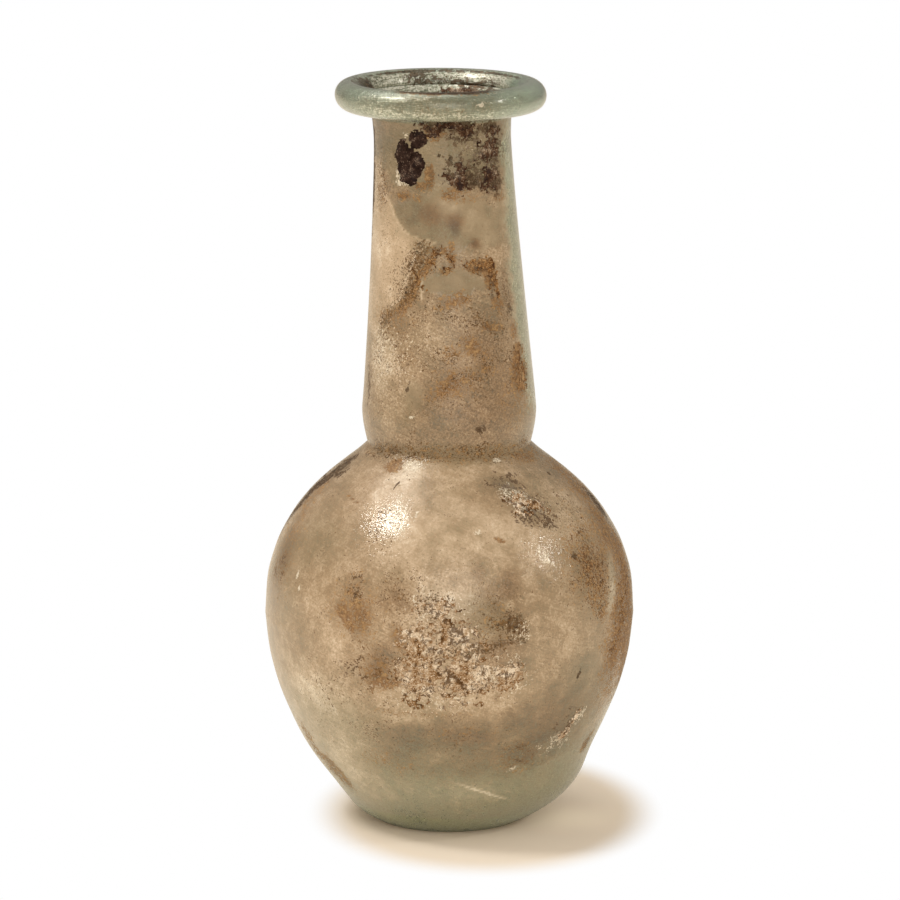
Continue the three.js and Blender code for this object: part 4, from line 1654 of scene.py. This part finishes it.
    def roughen(self, piece: bpy.types.Object) -> None:
        """Breaks a smooth turned form up, as snapped glass is, without passing its bed.

        Args:
            piece: the form, which is changed.
        """
        points = np.array([v.co for v in piece.data.vertices]) / MM
        bed = self.outline.kick(np.hypot(points[:, 0] - self.outline.sideways(points[:, 2]), points[:, 1]))
        depth = np.clip((bed - points[:, 2]) / self.scar_height, 0.0, 1.0)
        chip = self.chip_reach * depth * rough_field(points, self.chip_grain, seed=3.0)
        points[:, 2] += self.chip_drop * chip
        points[:, :2] *= 1.0 + (chip / self.scar_radius)[:, None]
        piece.data.vertices.foreach_set("co", (points * MM).astype(np.float32).ravel())
        piece.data.update()


@dataclass(frozen=True)
class Crust:
    """A burial crust that stands for one CAD node: a thin relief with a ragged edge and pits."""

    node: str
    finish: CrustFinish
    lobes: tuple[Lobe, ...]
    thickness: float
    raggedness: float = 0.5
    pits: float = 0.3
    cell: float = 0.17
    in_bore: bool = False
    grains: int = 0
    grain_size: float = 0.16
    crumble: float = 0.5
    least: int = 6
    sparseness: float = 0.02
    lift: float = 0.012
    edge: float = 0.02
    margin: float = 1.35
    slope_step: float = 0.1
    crack_fray: Limits = (1.2, 1.4)
    crack_edge: Limits = (0.7, 1.2)
    pit_edge: Limits = (0.9, 1.15)
    pit_bias: float = 0.3
    pit_depth: float = 0.7
    rise: float = 0.4
    evenness: float = 0.65
    noises: tuple[tuple[float, int, float], ...] = ((1.6, 4, 5.0), (0.45, 3, 2.0), (0.9, 3, 9.0))
    cracks: tuple[Lobe, ...] = ()

    def surface(self, outline: Outline, azimuth: Array, height: Array, lift: Array) -> Array:
        """Points off the wall that the crust lies on: square to it outside, and level in the bore.

        Args:
            outline: the wall.
            azimuth: in radians.
            height: above the resting surface.
            lift: how far off the wall.

        Returns:
            One x, y, z row for each point.
        """
        if self.in_bore:
            bore = outline.mouth_bore()
            radius = np.where(
                height > outline.neck_top,
                np.interp(height, bore[:, 1], bore[:, 0]),
                outline.inner_radius(np.minimum(height, outline.neck_top), outline.neck_wall),
            )
            return outline.place(azimuth, radius - lift, height)
        step = self.slope_step
        slope = (outline.outer_radius(height + step) - outline.outer_radius(height - step)) / (2 * step)
        tilt = np.hypot(1.0, slope)
        radius = outline.outer_radius(height) + lift / tilt
        return outline.place(azimuth, radius, height - lift * slope / tilt)

    def spread(self, outline: Outline, azimuth: Array, height: Array) -> tuple[Array, Array, Array]:
        """Works out where the crust lies and how broken it is.

        Args:
            outline: the wall.
            azimuth: in radians.
            height: above the resting surface.

        Returns:
            How far inside the crust's ragged edge each place lies, how bumpy it is there, and how
            cracked.
        """
        radius = outline.outer_radius(np.minimum(height, outline.neck_top))
        place = (azimuth, height, radius)
        points = around(azimuth, radius, height).reshape(-1, 3)
        fields = (rough_field(points, *noise).reshape(azimuth.shape) for noise in self.noises)
        coarse, fine, bumps = fields
        reach = np.max([1.0 - lobe.distance(*place) for lobe in self.lobes], axis=0)
        cracked = np.zeros(azimuth.shape)
        wide, narrow = self.crack_fray
        for crack in self.cracks:
            apart = crack.distance(*place) + wide * coarse + narrow * fine
            cracked = np.maximum(cracked, 1.0 - smoothstep(*self.crack_edge, apart))
        return reach + self.raggedness * (coarse + self.crumble * fine) - self.sparseness, bumps, cracked

    def grid(self, radius: float) -> tuple[Array, Array]:
        """A net that covers every lobe.

        Args:
            radius: the wall's, at the first lobe.

        Returns:
            The azimuths in radians and the heights, by row and column.
        """
        ends = []
        for lobe in self.lobes:
            wide, tall = math.degrees(lobe.half_width * self.margin / radius), lobe.half_height * self.margin
            ends.append((lobe.azimuth - wide, -lobe.azimuth - wide, lobe.height - tall, -lobe.height - tall))
        west, east, south, north = np.min(ends, axis=0) * (1, -1, 1, -1)
        across = max(4, int(math.radians(east - west) * radius / self.cell))
        upright = max(4, int((north - south) / self.cell))
        return np.meshgrid(
            np.radians(np.linspace(west, east, across + 1)), np.linspace(south, north, upright + 1)
        )

    def build(self, outline: Outline) -> bpy.types.Object:
        """Makes the crust.

        Args:
            outline: the wall that it lies on.

        Returns:
            The crust's object, a closed relief.
        """
        azimuth, height = self.grid(outline.outer_at(self.lobes[0].height))
        inward, rough, cracked = self.spread(outline, azimuth, height)
        kept = largest_islands(inward > 0, self.least)
        start, end = (level - self.pits for level in self.pit_edge)
        pitted = np.maximum(smoothstep(start, end, rough + self.pit_bias), cracked)
        uneven = self.evenness + (1.0 - self.evenness) * np.clip(rough, -1.0, 1.0)
        sunk = 1.0 - self.pit_depth * pitted
        relief = np.clip(smoothstep(0.0, self.rise, inward) * uneven * sunk, 0.0, 1.0)
        top = self.surface(outline, azimuth, height, self.lift + self.edge + self.thickness * relief)
        bed = self.surface(outline, azimuth, height, np.full(azimuth.shape, self.lift))
        layers = {"relief": relief, "pits": pitted}
        return closed_patch(f"{self.node}_relief", top, bed, kept, layers, self.in_bore)


def largest_islands(kept: Array, least: int) -> Array:
    """Finds the cells whose corners are all kept, and leaves out the smallest groups.

    Args:
        kept: which points of the net are kept.
        least: how many cells a group has at least.

    Returns:
        Which cells are there.
    """
    cells = kept[:-1, :-1] & kept[1:, :-1] & kept[:-1, 1:] & kept[1:, 1:]
    seen = np.zeros_like(cells)
    result = np.zeros_like(cells)
    for start in zip(*np.nonzero(cells)):
        if seen[start]:
            continue
        seen[start] = True
        island, queue = [start], [start]
        while queue:
            row, column = queue.pop()
            for near in ((row + 1, column), (row - 1, column), (row, column + 1), (row, column - 1)):
                inside = 0 <= near[0] < cells.shape[0] and 0 <= near[1] < cells.shape[1]
                if inside and cells[near] and not seen[near]:
                    seen[near] = True
                    island.append(near)
                    queue.append(near)
        if len(island) >= least:
            result[tuple(np.array(island).T)] = True
    return result


def closed_patch(
    name: str, top: Array, bed: Array, cells: Array, layers: dict[str, Array], turned_in: bool
) -> bpy.types.Object:
    """Closes a patch of cells between two sheets of points.

    Args:
        name: the object's.
        top: the outer sheet, by row and column.
        bed: the sheet on the wall.
        cells: which cells are there.
        layers: named values of each point, which become attributes.
        turned_in: whether the patch faces the axis.

    Returns:
        The closed object.
    """
    rows, columns = top.shape[:2]
    size = rows * columns
    present = np.pad(cells, 1)
    faces: list[list[int]] = []
    for row, column in zip(*np.nonzero(cells)):
        a = row * columns + column
        corners = [a, a + 1, a + columns + 1, a + columns]
        faces.append(corners)
        faces.append([size + corner for corner in reversed(corners)])
        beside = ((row - 1, column), (row, column + 1), (row + 1, column), (row, column - 1))
        for first, second, near in zip(corners, corners[1:] + corners[:1], beside):
            if not present[near[0] + 1, near[1] + 1]:
                faces.append([second, first, size + first, size + second])
    if turned_in:
        faces = [face[::-1] for face in faces]
    used, index = np.unique(np.concatenate(faces), return_inverse=True)
    points = np.concatenate([top.reshape(-1, 3), bed.reshape(-1, 3)])[used]
    patch = new_object(name, points, index.reshape(-1, 4).tolist(), smooth_angle=60.0)
    for attribute, values in layers.items():
        write_attribute(patch.data, attribute, np.tile(values.ravel(), 2)[used])
    return patch


@dataclass(frozen=True)
class GrainScatter:
    """Loose grains and flat chips that cling to a crust, scattered by Geometry Nodes with a fixed seed."""

    count: int
    size: float
    seed: int
    flatness: float = 0.45
    narrowness: float = 0.72
    least_relief: float = 0.18
    sizes: Limits = (0.35, 1.3)
    turns: tuple[Triple, Triple] = ((-0.5, -0.5, 0.0), (0.5, 0.5, 6.28))
    tones: Limits = (-0.15, 0.75)

    def tree(self, material: bpy.types.Material, area: float) -> bpy.types.NodeTree:
        """Builds the scattering tree.

        Args:
            material: what the grains are made of.
            area: the crust's area in square metres.

        Returns:
            The tree, which turns a crust into its grains alone.
        """
        tree = bpy.data.node_groups.new("clinging_grains", "GeometryNodeTree")
        bench = NodeBench(tree)
        sockets = (
            ("Geometry", "Geometry", None),
            ("Density", "Float", self.count / area),
            ("Grain Size", "Float", self.size * MM),
            ("Flatness", "Float", self.flatness),
            ("Seed", "Int", self.seed),
        )
        for name, kind, value in sockets:
            socket = tree.interface.new_socket(name, in_out="INPUT", socket_type=f"NodeSocket{kind}")
            if value is not None:
                socket.default_value = value
        tree.interface.new_socket("Geometry", in_out="OUTPUT", socket_type="NodeSocketGeometry")
        crust, density, size, flatness, seed, _ = bench.add("NodeGroupInput").outputs
        relief = bench.add("GeometryNodeInputNamedAttribute", settings={"data_type": "FLOAT"}, Name="relief")
        high = bench.math("GREATER_THAN", relief.outputs["Attribute"], self.least_relief)
        points = bench.add("GeometryNodeDistributePointsOnFaces", crust, high, Density=density, Seed=seed)
        ball = bench.result("GeometryNodeMeshIcoSphere", Radius=0.5, Subdivisions=1)
        length = bench.scaled(self.drawn(bench, "FLOAT", self.sizes, seed), size)
        sides = (length, bench.scaled(length, self.narrowness), bench.scaled(length, flatness))
        placed = bench.result(
            "GeometryNodeInstanceOnPoints",
            Points=points.outputs["Points"],
            Instance=ball,
            Rotation=points.outputs["Rotation"],
            Scale=bench.result("ShaderNodeCombineXYZ", *sides),
        )
        turn = self.drawn(bench, "FLOAT_VECTOR", self.turns, seed)
        spun = bench.result("GeometryNodeRotateInstances", placed, Rotation=turn)
        toned = bench.result(
            "GeometryNodeStoreNamedAttribute",
            spun,
            settings={"data_type": "FLOAT", "domain": "INSTANCE"},
            Name="tone",
            Value=self.drawn(bench, "FLOAT", self.tones, seed),
        )
        real = bench.result("GeometryNodeRealizeInstances", toned)
        dressed = bench.result("GeometryNodeSetMaterial", real, Material=material)
        bench.add("NodeGroupOutput", dressed)
        return tree

    def drawn(self, bench: NodeBench, kind: str, limits: Sequence[object], seed: Socket) -> Socket:
        """A value that is drawn for each grain.

        Args:
            bench: where the node is added.
            kind: FLOAT or FLOAT_VECTOR.
            limits: the least and the greatest value.
            seed: the draw's.

        Returns:
            The value.
        """
        node = bench.add("FunctionNodeRandomValue", settings={"data_type": kind}, Seed=seed)
        ends = (socket for socket in node.inputs if socket.enabled and socket.name in ("Min", "Max"))
        for socket, limit in zip(ends, limits):
            socket.default_value = limit
        return next(socket for socket in node.outputs if socket.enabled)

    def build(self, crust: bpy.types.Object, name: str, material: bpy.types.Material) -> bpy.types.Object:
        """Scatters the grains over a crust.

        Args:
            crust: what they cling to.
            name: the new object's.
            material: what they are made of.

        Returns:
            The grains as one plain mesh.
        """
        area = sum(polygon.area for polygon in crust.data.polygons) / 2
        carrier = link(name + "_carrier", crust.data.copy())
        modifier = carrier.modifiers.new("grains", "NODES")
        modifier.node_group = self.tree(material, area)
        bpy.context.view_layer.update()
        evaluated = carrier.evaluated_get(bpy.context.evaluated_depsgraph_get())
        mesh = bpy.data.meshes.new_from_object(evaluated)
        bpy.data.objects.remove(carrier)
        mesh.name = name
        return link(name, mesh)


DARK_TONES: Ramp = (
    (0, 0.015, 0.007, 0.005), (0.5, 0.04, 0.02, 0.015), (0.8, 0.085, 0.05, 0.037),
    (1, 0.24, 0.17, 0.13),
)
MOTTLED_TONES: Ramp = (
    (0, 0.018, 0.009, 0.006), (0.4, 0.08, 0.037, 0.02), (0.7, 0.17, 0.1, 0.06),
    (1, 0.45, 0.36, 0.27),
)
RUST_TONES: Ramp = (
    (0, 0.055, 0.024, 0.01), (0.4, 0.165, 0.075, 0.026), (0.72, 0.33, 0.165, 0.06),
    (1, 0.56, 0.36, 0.18),
)
OCHRE_TONES: Ramp = (
    (0, 0.15, 0.075, 0.032), (0.45, 0.31, 0.165, 0.07), (0.75, 0.43, 0.26, 0.125),
    (1, 0.56, 0.38, 0.21),
)
LIME_TONES: Ramp = (
    (0, 0.1, 0.046, 0.016), (0.28, 0.31, 0.172, 0.078), (0.55, 0.55, 0.395, 0.26),
    (1, 0.92, 0.79, 0.64),
)
DARK_CRUST = CrustFinish("dark_crust", "dark_crust", DARK_TONES, (0.02, 0.012, 0.012))
MOTTLED_CRUST = CrustFinish("mottled_dark_crust", "dark_crust", MOTTLED_TONES, (0.035, 0.02, 0.018))
RUST_CRUST = CrustFinish("rust_crust", "rust_crust", RUST_TONES, (0.07, 0.032, 0.018))
OCHRE_CRUST = CrustFinish("ochre_crust", "rust_crust", OCHRE_TONES, (0.12, 0.06, 0.03))
LIME_CRUST = CrustFinish("lime_crust", "lime_crust", LIME_TONES, (0.08, 0.036, 0.012), 0.7, 3.4)

CRUSTS = (
    Crust(
        "neck_crust_left", DARK_CRUST,
        lobes(
            (-20, 125.4, 1.7, 1.9), (-34.5, 122.4, 1.7, 2.9), (-29, 119.8, 2.3, 2.9), (-22, 121.2, 1.6, 2.7),
            (-29, 118.3, 2.0, 1.1),
        ),
        0.26, 0.3, 0.15, 0.13, grains=220, grain_size=0.2, crumble=0.7,
    ),
    Crust(
        "neck_crust_right", MOTTLED_CRUST,
        lobes(
            (7, 127.9, 5.3, 0.7), (-6, 127.0, 1.3, 1.7), (22, 127.0, 2.3, 1.3), (43, 123.6, 2.5, 2.5),
            (14, 118.8, 2.3, 2.1), (42, 118.4, 2.0, 2.4), (47, 126.6, 2.0, 1.0),
        ),
        0.16, 0.9, 0.45, 0.14, grains=420, crumble=0.8, least=2,
    ),
    Crust(
        "mouth_crust", MOTTLED_CRUST, lobes((133, 130.3, 4.2, 0.9), (165, 130.9, 4.0, 0.5)),
        0.2, 0.7, 0.3, 0.13, True, grains=160, crumble=0.8, least=2,
    ),
    Crust(
        "neck_rust_left", RUST_CRUST,
        lobes(
            (-11, 104.3, 0.9, 2.9, -32), (3, 104.6, 0.6, 2.2, 10), (-1, 102.2, 1.3, 0.8),
            (-24, 101.4, 0.5, 2.6, 30),
        ),
        0.07, 1.3, 0.5, 0.13, grains=520, grain_size=0.15, crumble=1.5, least=1, sparseness=0.25,
    ),
    Crust(
        "neck_rust_right", RUST_CRUST,
        lobes((28, 103.1, 3.1, 1.2), (36, 101.2, 1.2, 2.7), (39.5, 98.9, 0.6, 1.7)),
        0.1, 1.0, 0.4, 0.13, grains=520, crumble=1.3, least=1, sparseness=0.1,
    ),
    Crust(
        "neck_rust_low", OCHRE_CRUST, lobes((58, 85.5, 1.6, 2.4), (59, 81.8, 1.9, 2.4)),
        0.06, 1.2, 0.5, 0.14, grains=240, crumble=1.2, least=1, sparseness=0.2,
    ),
    Crust(
        "flank_rust", OCHRE_CRUST,
        lobes((53, 50, 2.2, 3.2, 8), (70, 41, 6.4, 1.7, 62), (63, 33.6, 3.6, 1.2, 70)),
        0.04, 1.4, 0.6, 0.15, grains=380, crumble=1.5, least=1, sparseness=0.6,
    ),
    Crust(
        "shoulder_crust", LIME_CRUST,
        lobes((31, 62.6, 2.8, 1.2, -12), (39, 61.2, 2.6, 1.1, -18), (34, 60.6, 1.8, 0.9, 10)),
        0.12, 1.2, 0.5, 0.14, grains=360, grain_size=0.2, crumble=1.0, least=2,
    ),
    Crust(
        "belly_crust", LIME_CRUST,
        lobes(
            (-8, 34.0, 5.6, 5.6, -20), (5, 33.6, 6.4, 5.0, 15), (2, 41.0, 5.0, 3.2, -30),
            (-10, 39.6, 3.4, 3.0), (18.5, 33.4, 3.4, 3.0, 20), (-3, 46.0, 4.0, 1.5),
        ),
        0.14, 0.62, 0.3, 0.16, grains=1500, grain_size=0.2, crumble=0.9, least=2, sparseness=0.06,
        cracks=lobes(
            (0.8, 33.8, 4.2, 0.45, -46), (0.8, 43.0, 1.3, 0.5, -35), (4.0, 39.9, 2.6, 0.35, 8),
            (3.4, 41.3, 1.6, 0.35, -50), (-15.5, 36.4, 1.6, 0.45, 60), (-4.5, 38.4, 0.8, 0.6),
            (-5.5, 29.4, 2.0, 0.8, -10),
        ),
    ),
    Crust(
        "heel_crust", LIME_CRUST, lobes((48.5, 23.4, 2.0, 1.0, 60), (45, 20.4, 1.7, 0.9, 50)),
        0.15, 0.9, 0.45, 0.14, grains=180, grain_size=0.2, crumble=1.0, least=2,
    ),
)


@dataclass(frozen=True)
class Lamp:
    """A square lamp that looks at the flask's middle from a distance in metres."""

    name: str
    towards: Triple
    size: float
    power: float
    tint: Colour = (1.0, 0.95, 0.88)
    distance: float = 0.9

    def place(self) -> None:
        """Adds the lamp to the scene."""
        light = bpy.data.lights.new(self.name, "AREA")
        light.size, light.energy, light.color = self.size, self.power, self.tint
        lamp = link(self.name, light)
        away = Vector(self.towards).normalized()
        lamp.location = Vector((0.0, 0.0, OUTLINE.top * MM / 2)) + away * self.distance
        lamp.rotation_euler = away.to_track_quat("Z", "Y").to_euler()


@dataclass(frozen=True)
class Studio:
    """A plain pale floor, soft lamps, a white surround and the camera at the photograph's angle.

    The floor fades to white outside a squashed circle about the flask's shadow. Inside it a warm tint and a
    faint warm glow are painted light that warms the shadow, and a faint bright spot lies where the flask
    gathers the light.
    """

    lamps: tuple[Lamp, ...] = (
        Lamp("overhead_lamp", (-0.2, 0.3, 0.93), 0.6, 1.6, (1.0, 0.97, 0.92)),
        Lamp("key_lamp", (-0.53, -0.14, 0.84), 0.17, 2.7),
        Lamp("fill_lamp", (0.82, -0.19, 0.52), 0.07, 0.8),
        Lamp("front_lamp", (0.1, -0.9, 0.35), 0.6, 1.7, (1.0, 0.96, 0.89)),
    )
    camera_place: Triple = (0.15, -979.9, 266.8)
    camera_elevation: float = 11.5
    focal_pixels: float = 5555.0
    frame_pixels: float = 900.0
    sensor: float = 36.0
    clip: Limits = (0.01, 20.0)
    surround: float = 0.56
    mirrored_surround: float = 0.26
    surround_tint: Colour = (1.0, 0.93, 0.81)
    floor_reach: float = 4000.0
    floor_drop: float = 0.03
    # The floor near the flask: a warm tint and a faint warm glow, painted light that warms the flask's
    # shadow.
    shadow_warming_tint: Colour = (0.93, 0.855, 0.755)
    floor_glow: Colour = (0.06, 0.035, 0.02)
    bounce_tint: Colour = (0.95, 0.9, 0.8)
    shadow_reach: Limits = (24.0, 33.0)
    shadow_middle: Triple = (6.6, 1.0, 0.0)
    shadow_squash: Triple = (1.0, 0.72, 1.0)
    caustic_middle: Triple = (22.0, -4.0, 0.0)
    caustic_reach: float = 13.0
    caustic_tint: Colour = (0.1, 0.082, 0.055)

    def light(self) -> None:
        """Adds the lamps and the white surround."""
        for lamp in self.lamps:
            lamp.place()
        world = bpy.data.worlds.new("surround")
        bpy.context.scene.world = world
        world.use_nodes = True
        bench = NodeBench(world.node_tree)
        mirrored = bench.add("ShaderNodeLightPath").outputs["Is Glossy Ray"]
        strength = bench.blend(mirrored, self.surround, self.mirrored_surround)
        soft = bench.result("ShaderNodeBackground", self.surround_tint, strength)
        white = bench.result("ShaderNodeBackground", (1.0, 1.0, 1.0), 1.0)
        mixed = bench.result("ShaderNodeMixShader", self.seen_directly(bench), soft, white)
        bench.add("ShaderNodeOutputWorld", mixed)

    def seen_directly(self, bench: NodeBench) -> Socket:
        """1 for rays from the camera, also where glass bends them."""
        path = bench.add("ShaderNodeLightPath")
        return bench.largest(path.outputs["Is Camera Ray"], path.outputs["Is Transmission Ray"])

    def distance(self, bench: NodeBench, place: Socket, middle: Triple) -> Socket:
        """How far a place lies from a middle given in millimetres."""
        return bench.vector("DISTANCE", place, tuple(Vector(middle) * MM)).outputs["Value"]

    def floor(self) -> bpy.types.Object:
        """The pale floor, which fades to the white backdrop away from the flask.

        Returns:
            The floor, a part of the stage.
        """
        corners = np.array([(-1, -1, 0), (1, -1, 0), (1, 1, 0), (-1, 1, 0)]) * self.floor_reach
        floor = new_object("pale_floor", corners - [0, 0, self.floor_drop], [[0, 1, 2, 3]])
        material, bench = new_material("pale_floor")
        place = bench.place()
        squashed = bench.vector("MULTIPLY", place, self.shadow_squash).outputs[0]
        start, end = self.shadow_reach
        faded = bench.step(self.distance(bench, squashed, self.shadow_middle), start * MM, end * MM)
        beside = self.distance(bench, place, self.caustic_middle)
        gathered = bench.step(beside, 0.0, self.caustic_reach * MM, 1.0, 0.0)
        # The warm glow and the warm diffuse tint near the flask are painted light in its shadow.
        glow = bench.result("ShaderNodeEmission", self.floor_glow, 1.0)
        caustic = bench.result("ShaderNodeEmission", self.caustic_tint, gathered)
        white = bench.result("ShaderNodeEmission", (1.0, 1.0, 1.0), 1.0)
        diffuse = bench.result("ShaderNodeBsdfDiffuse", self.shadow_warming_tint)
        bounce = bench.result("ShaderNodeBsdfDiffuse", self.bounce_tint)
        lit = bench.result("ShaderNodeAddShader", glow, caustic)
        near = bench.result("ShaderNodeAddShader", diffuse, lit)
        shown = bench.result("ShaderNodeMixShader", faded, near, white)
        mixed = bench.result("ShaderNodeMixShader", self.seen_directly(bench), bounce, shown)
        bench.add("ShaderNodeOutputMaterial", mixed)
        floor.data.materials.append(material)
        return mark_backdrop(floor)

    def camera(self) -> None:
        """Adds the camera."""
        lens = bpy.data.cameras.new("camera")
        lens.sensor_width = self.sensor
        lens.lens = self.focal_pixels / self.frame_pixels * self.sensor
        lens.clip_start, lens.clip_end = self.clip
        camera = link("camera", lens)
        camera.location = Vector(self.camera_place) * MM
        camera.rotation_euler = (math.radians(90.0 - self.camera_elevation), 0.0, 0.0)
        bpy.context.scene.camera = camera

    def build(self) -> None:
        """Sets the stage."""
        bpy.context.scene.view_settings.view_transform = "Standard"
        self.camera()
        self.light()
        self.floor()


def check_outline(outline: Outline, slack: float = 0.2) -> None:
    """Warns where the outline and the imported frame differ.

    Args:
        outline: the flask's.
        slack: the difference in millimetres that is let pass.
    """
    low, high = cad_box
    width = (high[0] - low[0]) / MM
    height = (high[2] - low[2]) / MM
    for name, packed, drawn in (("height", height, outline.top), ("width", width, 2 * outline.body_radius)):
        if abs(packed - drawn) > slack:
            log.warning("%s: the frame has %.2f mm and the outline %.2f mm", name, packed, drawn)


def hand_over(
    piece: bpy.types.Object, slot: str, materials: Sequence[bpy.types.Material], *nodes: str
) -> None:
    """Dresses a piece, fixes it to the flask and hides the CAD parts that it stands for.

    Args:
        piece: the piece.
        slot: the piece's material slot; not used.
        materials: by material index.
        nodes: the CAD nodes that it stands for.
    """
    piece.data.materials.clear()
    for material in materials:
        piece.data.materials.append(material)
    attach(piece, "root")
    if nodes:
        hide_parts(*nodes)
    log.info("%s: %d faces", piece.name, len(piece.data.polygons))


def build_glass(outline: Outline) -> None:
    """Builds and dresses the five lengths of the gather and the scar under it.

    Args:
        outline: the flask's.
    """
    glass = GlassBody(outline, Weathering(outline))
    joint = open_joint()
    filmed = FilmedGlass("filmed_glass").build()
    peppered = FilmedGlass("peppered_neck_glass", grit=0.5, swirl=0.2, speck_scale=0.8).build()
    # The rim's level light and dark streaks are painted refraction lines of the roll's glass; they also raise
    # its bump.
    rim = FilmedGlass(
        "rim_glass", (0.68, 0.78, 0.62), SAGE_COOL, SAGE_WARM, film_roughness=0.24, metal=0.45, relief=0.12,
        sheen=0.04, grit=1.3, streak_length=1.6, streak_width=0.16, streak_tilt=0.0, streak_share=0.9,
    ).build()
    mouth = FilmedGlass(
        "mouth_film", (0.7, 0.72, 0.58), SILVER_COOL, SILVER_WARM, film_roughness=0.25, metal=0.5,
        streak_length=0.2, streak_width=2.5, streak_tilt=0.0, streak_share=0.5,
    ).build()
    foot = FilmedGlass("base_glass", (0.7, 0.76, 0.44), olive=(0.19, 0.19, 0.075)).build()
    scar = FilmedGlass("scar_glass", (0.5, 0.58, 0.42), clear_roughness=0.35).build()
    heel, crease, top = outline.heel_height, outline.crease_height, outline.neck_top
    body = glass.wall("body_glass", heel, crease, outline.body_wall, glass.body_sides)
    neck = glass.wall("neck_glass", crease, top, outline.neck_wall, glass.neck_sides)
    hand_over(glass.base(), "base_glass", (foot, foot, joint), "base")
    hand_over(glass.scar(), "scar_glass", (scar,), "pontil_scar")
    hand_over(body, "filmed_glass", (filmed, filmed, joint), "body_wall")
    hand_over(neck, "filmed_glass", (peppered, peppered, joint), "neck_wall")
    hand_over(glass.flare(), "rim_glass", (rim, rim, joint, mouth), "mouth_flare")
    hand_over(glass.fold(), "rim_glass", (rim, rim, joint, mouth), "folded_rim")


def build_crusts(outline: Outline) -> None:
    """Builds and dresses each crust and the grains that cling to it.

    Args:
        outline: the flask's.
    """
    built = {finish: finish.build() for finish in dict.fromkeys(crust.finish for crust in CRUSTS)}
    for seed, crust in enumerate(CRUSTS, 1):
        slot, material = crust.finish.slot, built[crust.finish]
        relief = crust.build(outline)
        scatter = GrainScatter(crust.grains, crust.grain_size, seed)
        hand_over(scatter.build(relief, f"{crust.node}_grains", material), slot, (material,))
        hand_over(relief, slot, (material,), crust.node)


def main() -> None:
    """Builds the flask, its weathering and its studio."""
    logging.basicConfig(level=logging.INFO, format="%(name)s %(message)s")
    check_outline(OUTLINE)
    Studio().build()
    build_glass(OUTLINE)
    build_crusts(OUTLINE)


if __name__ == "__main__":
    main()
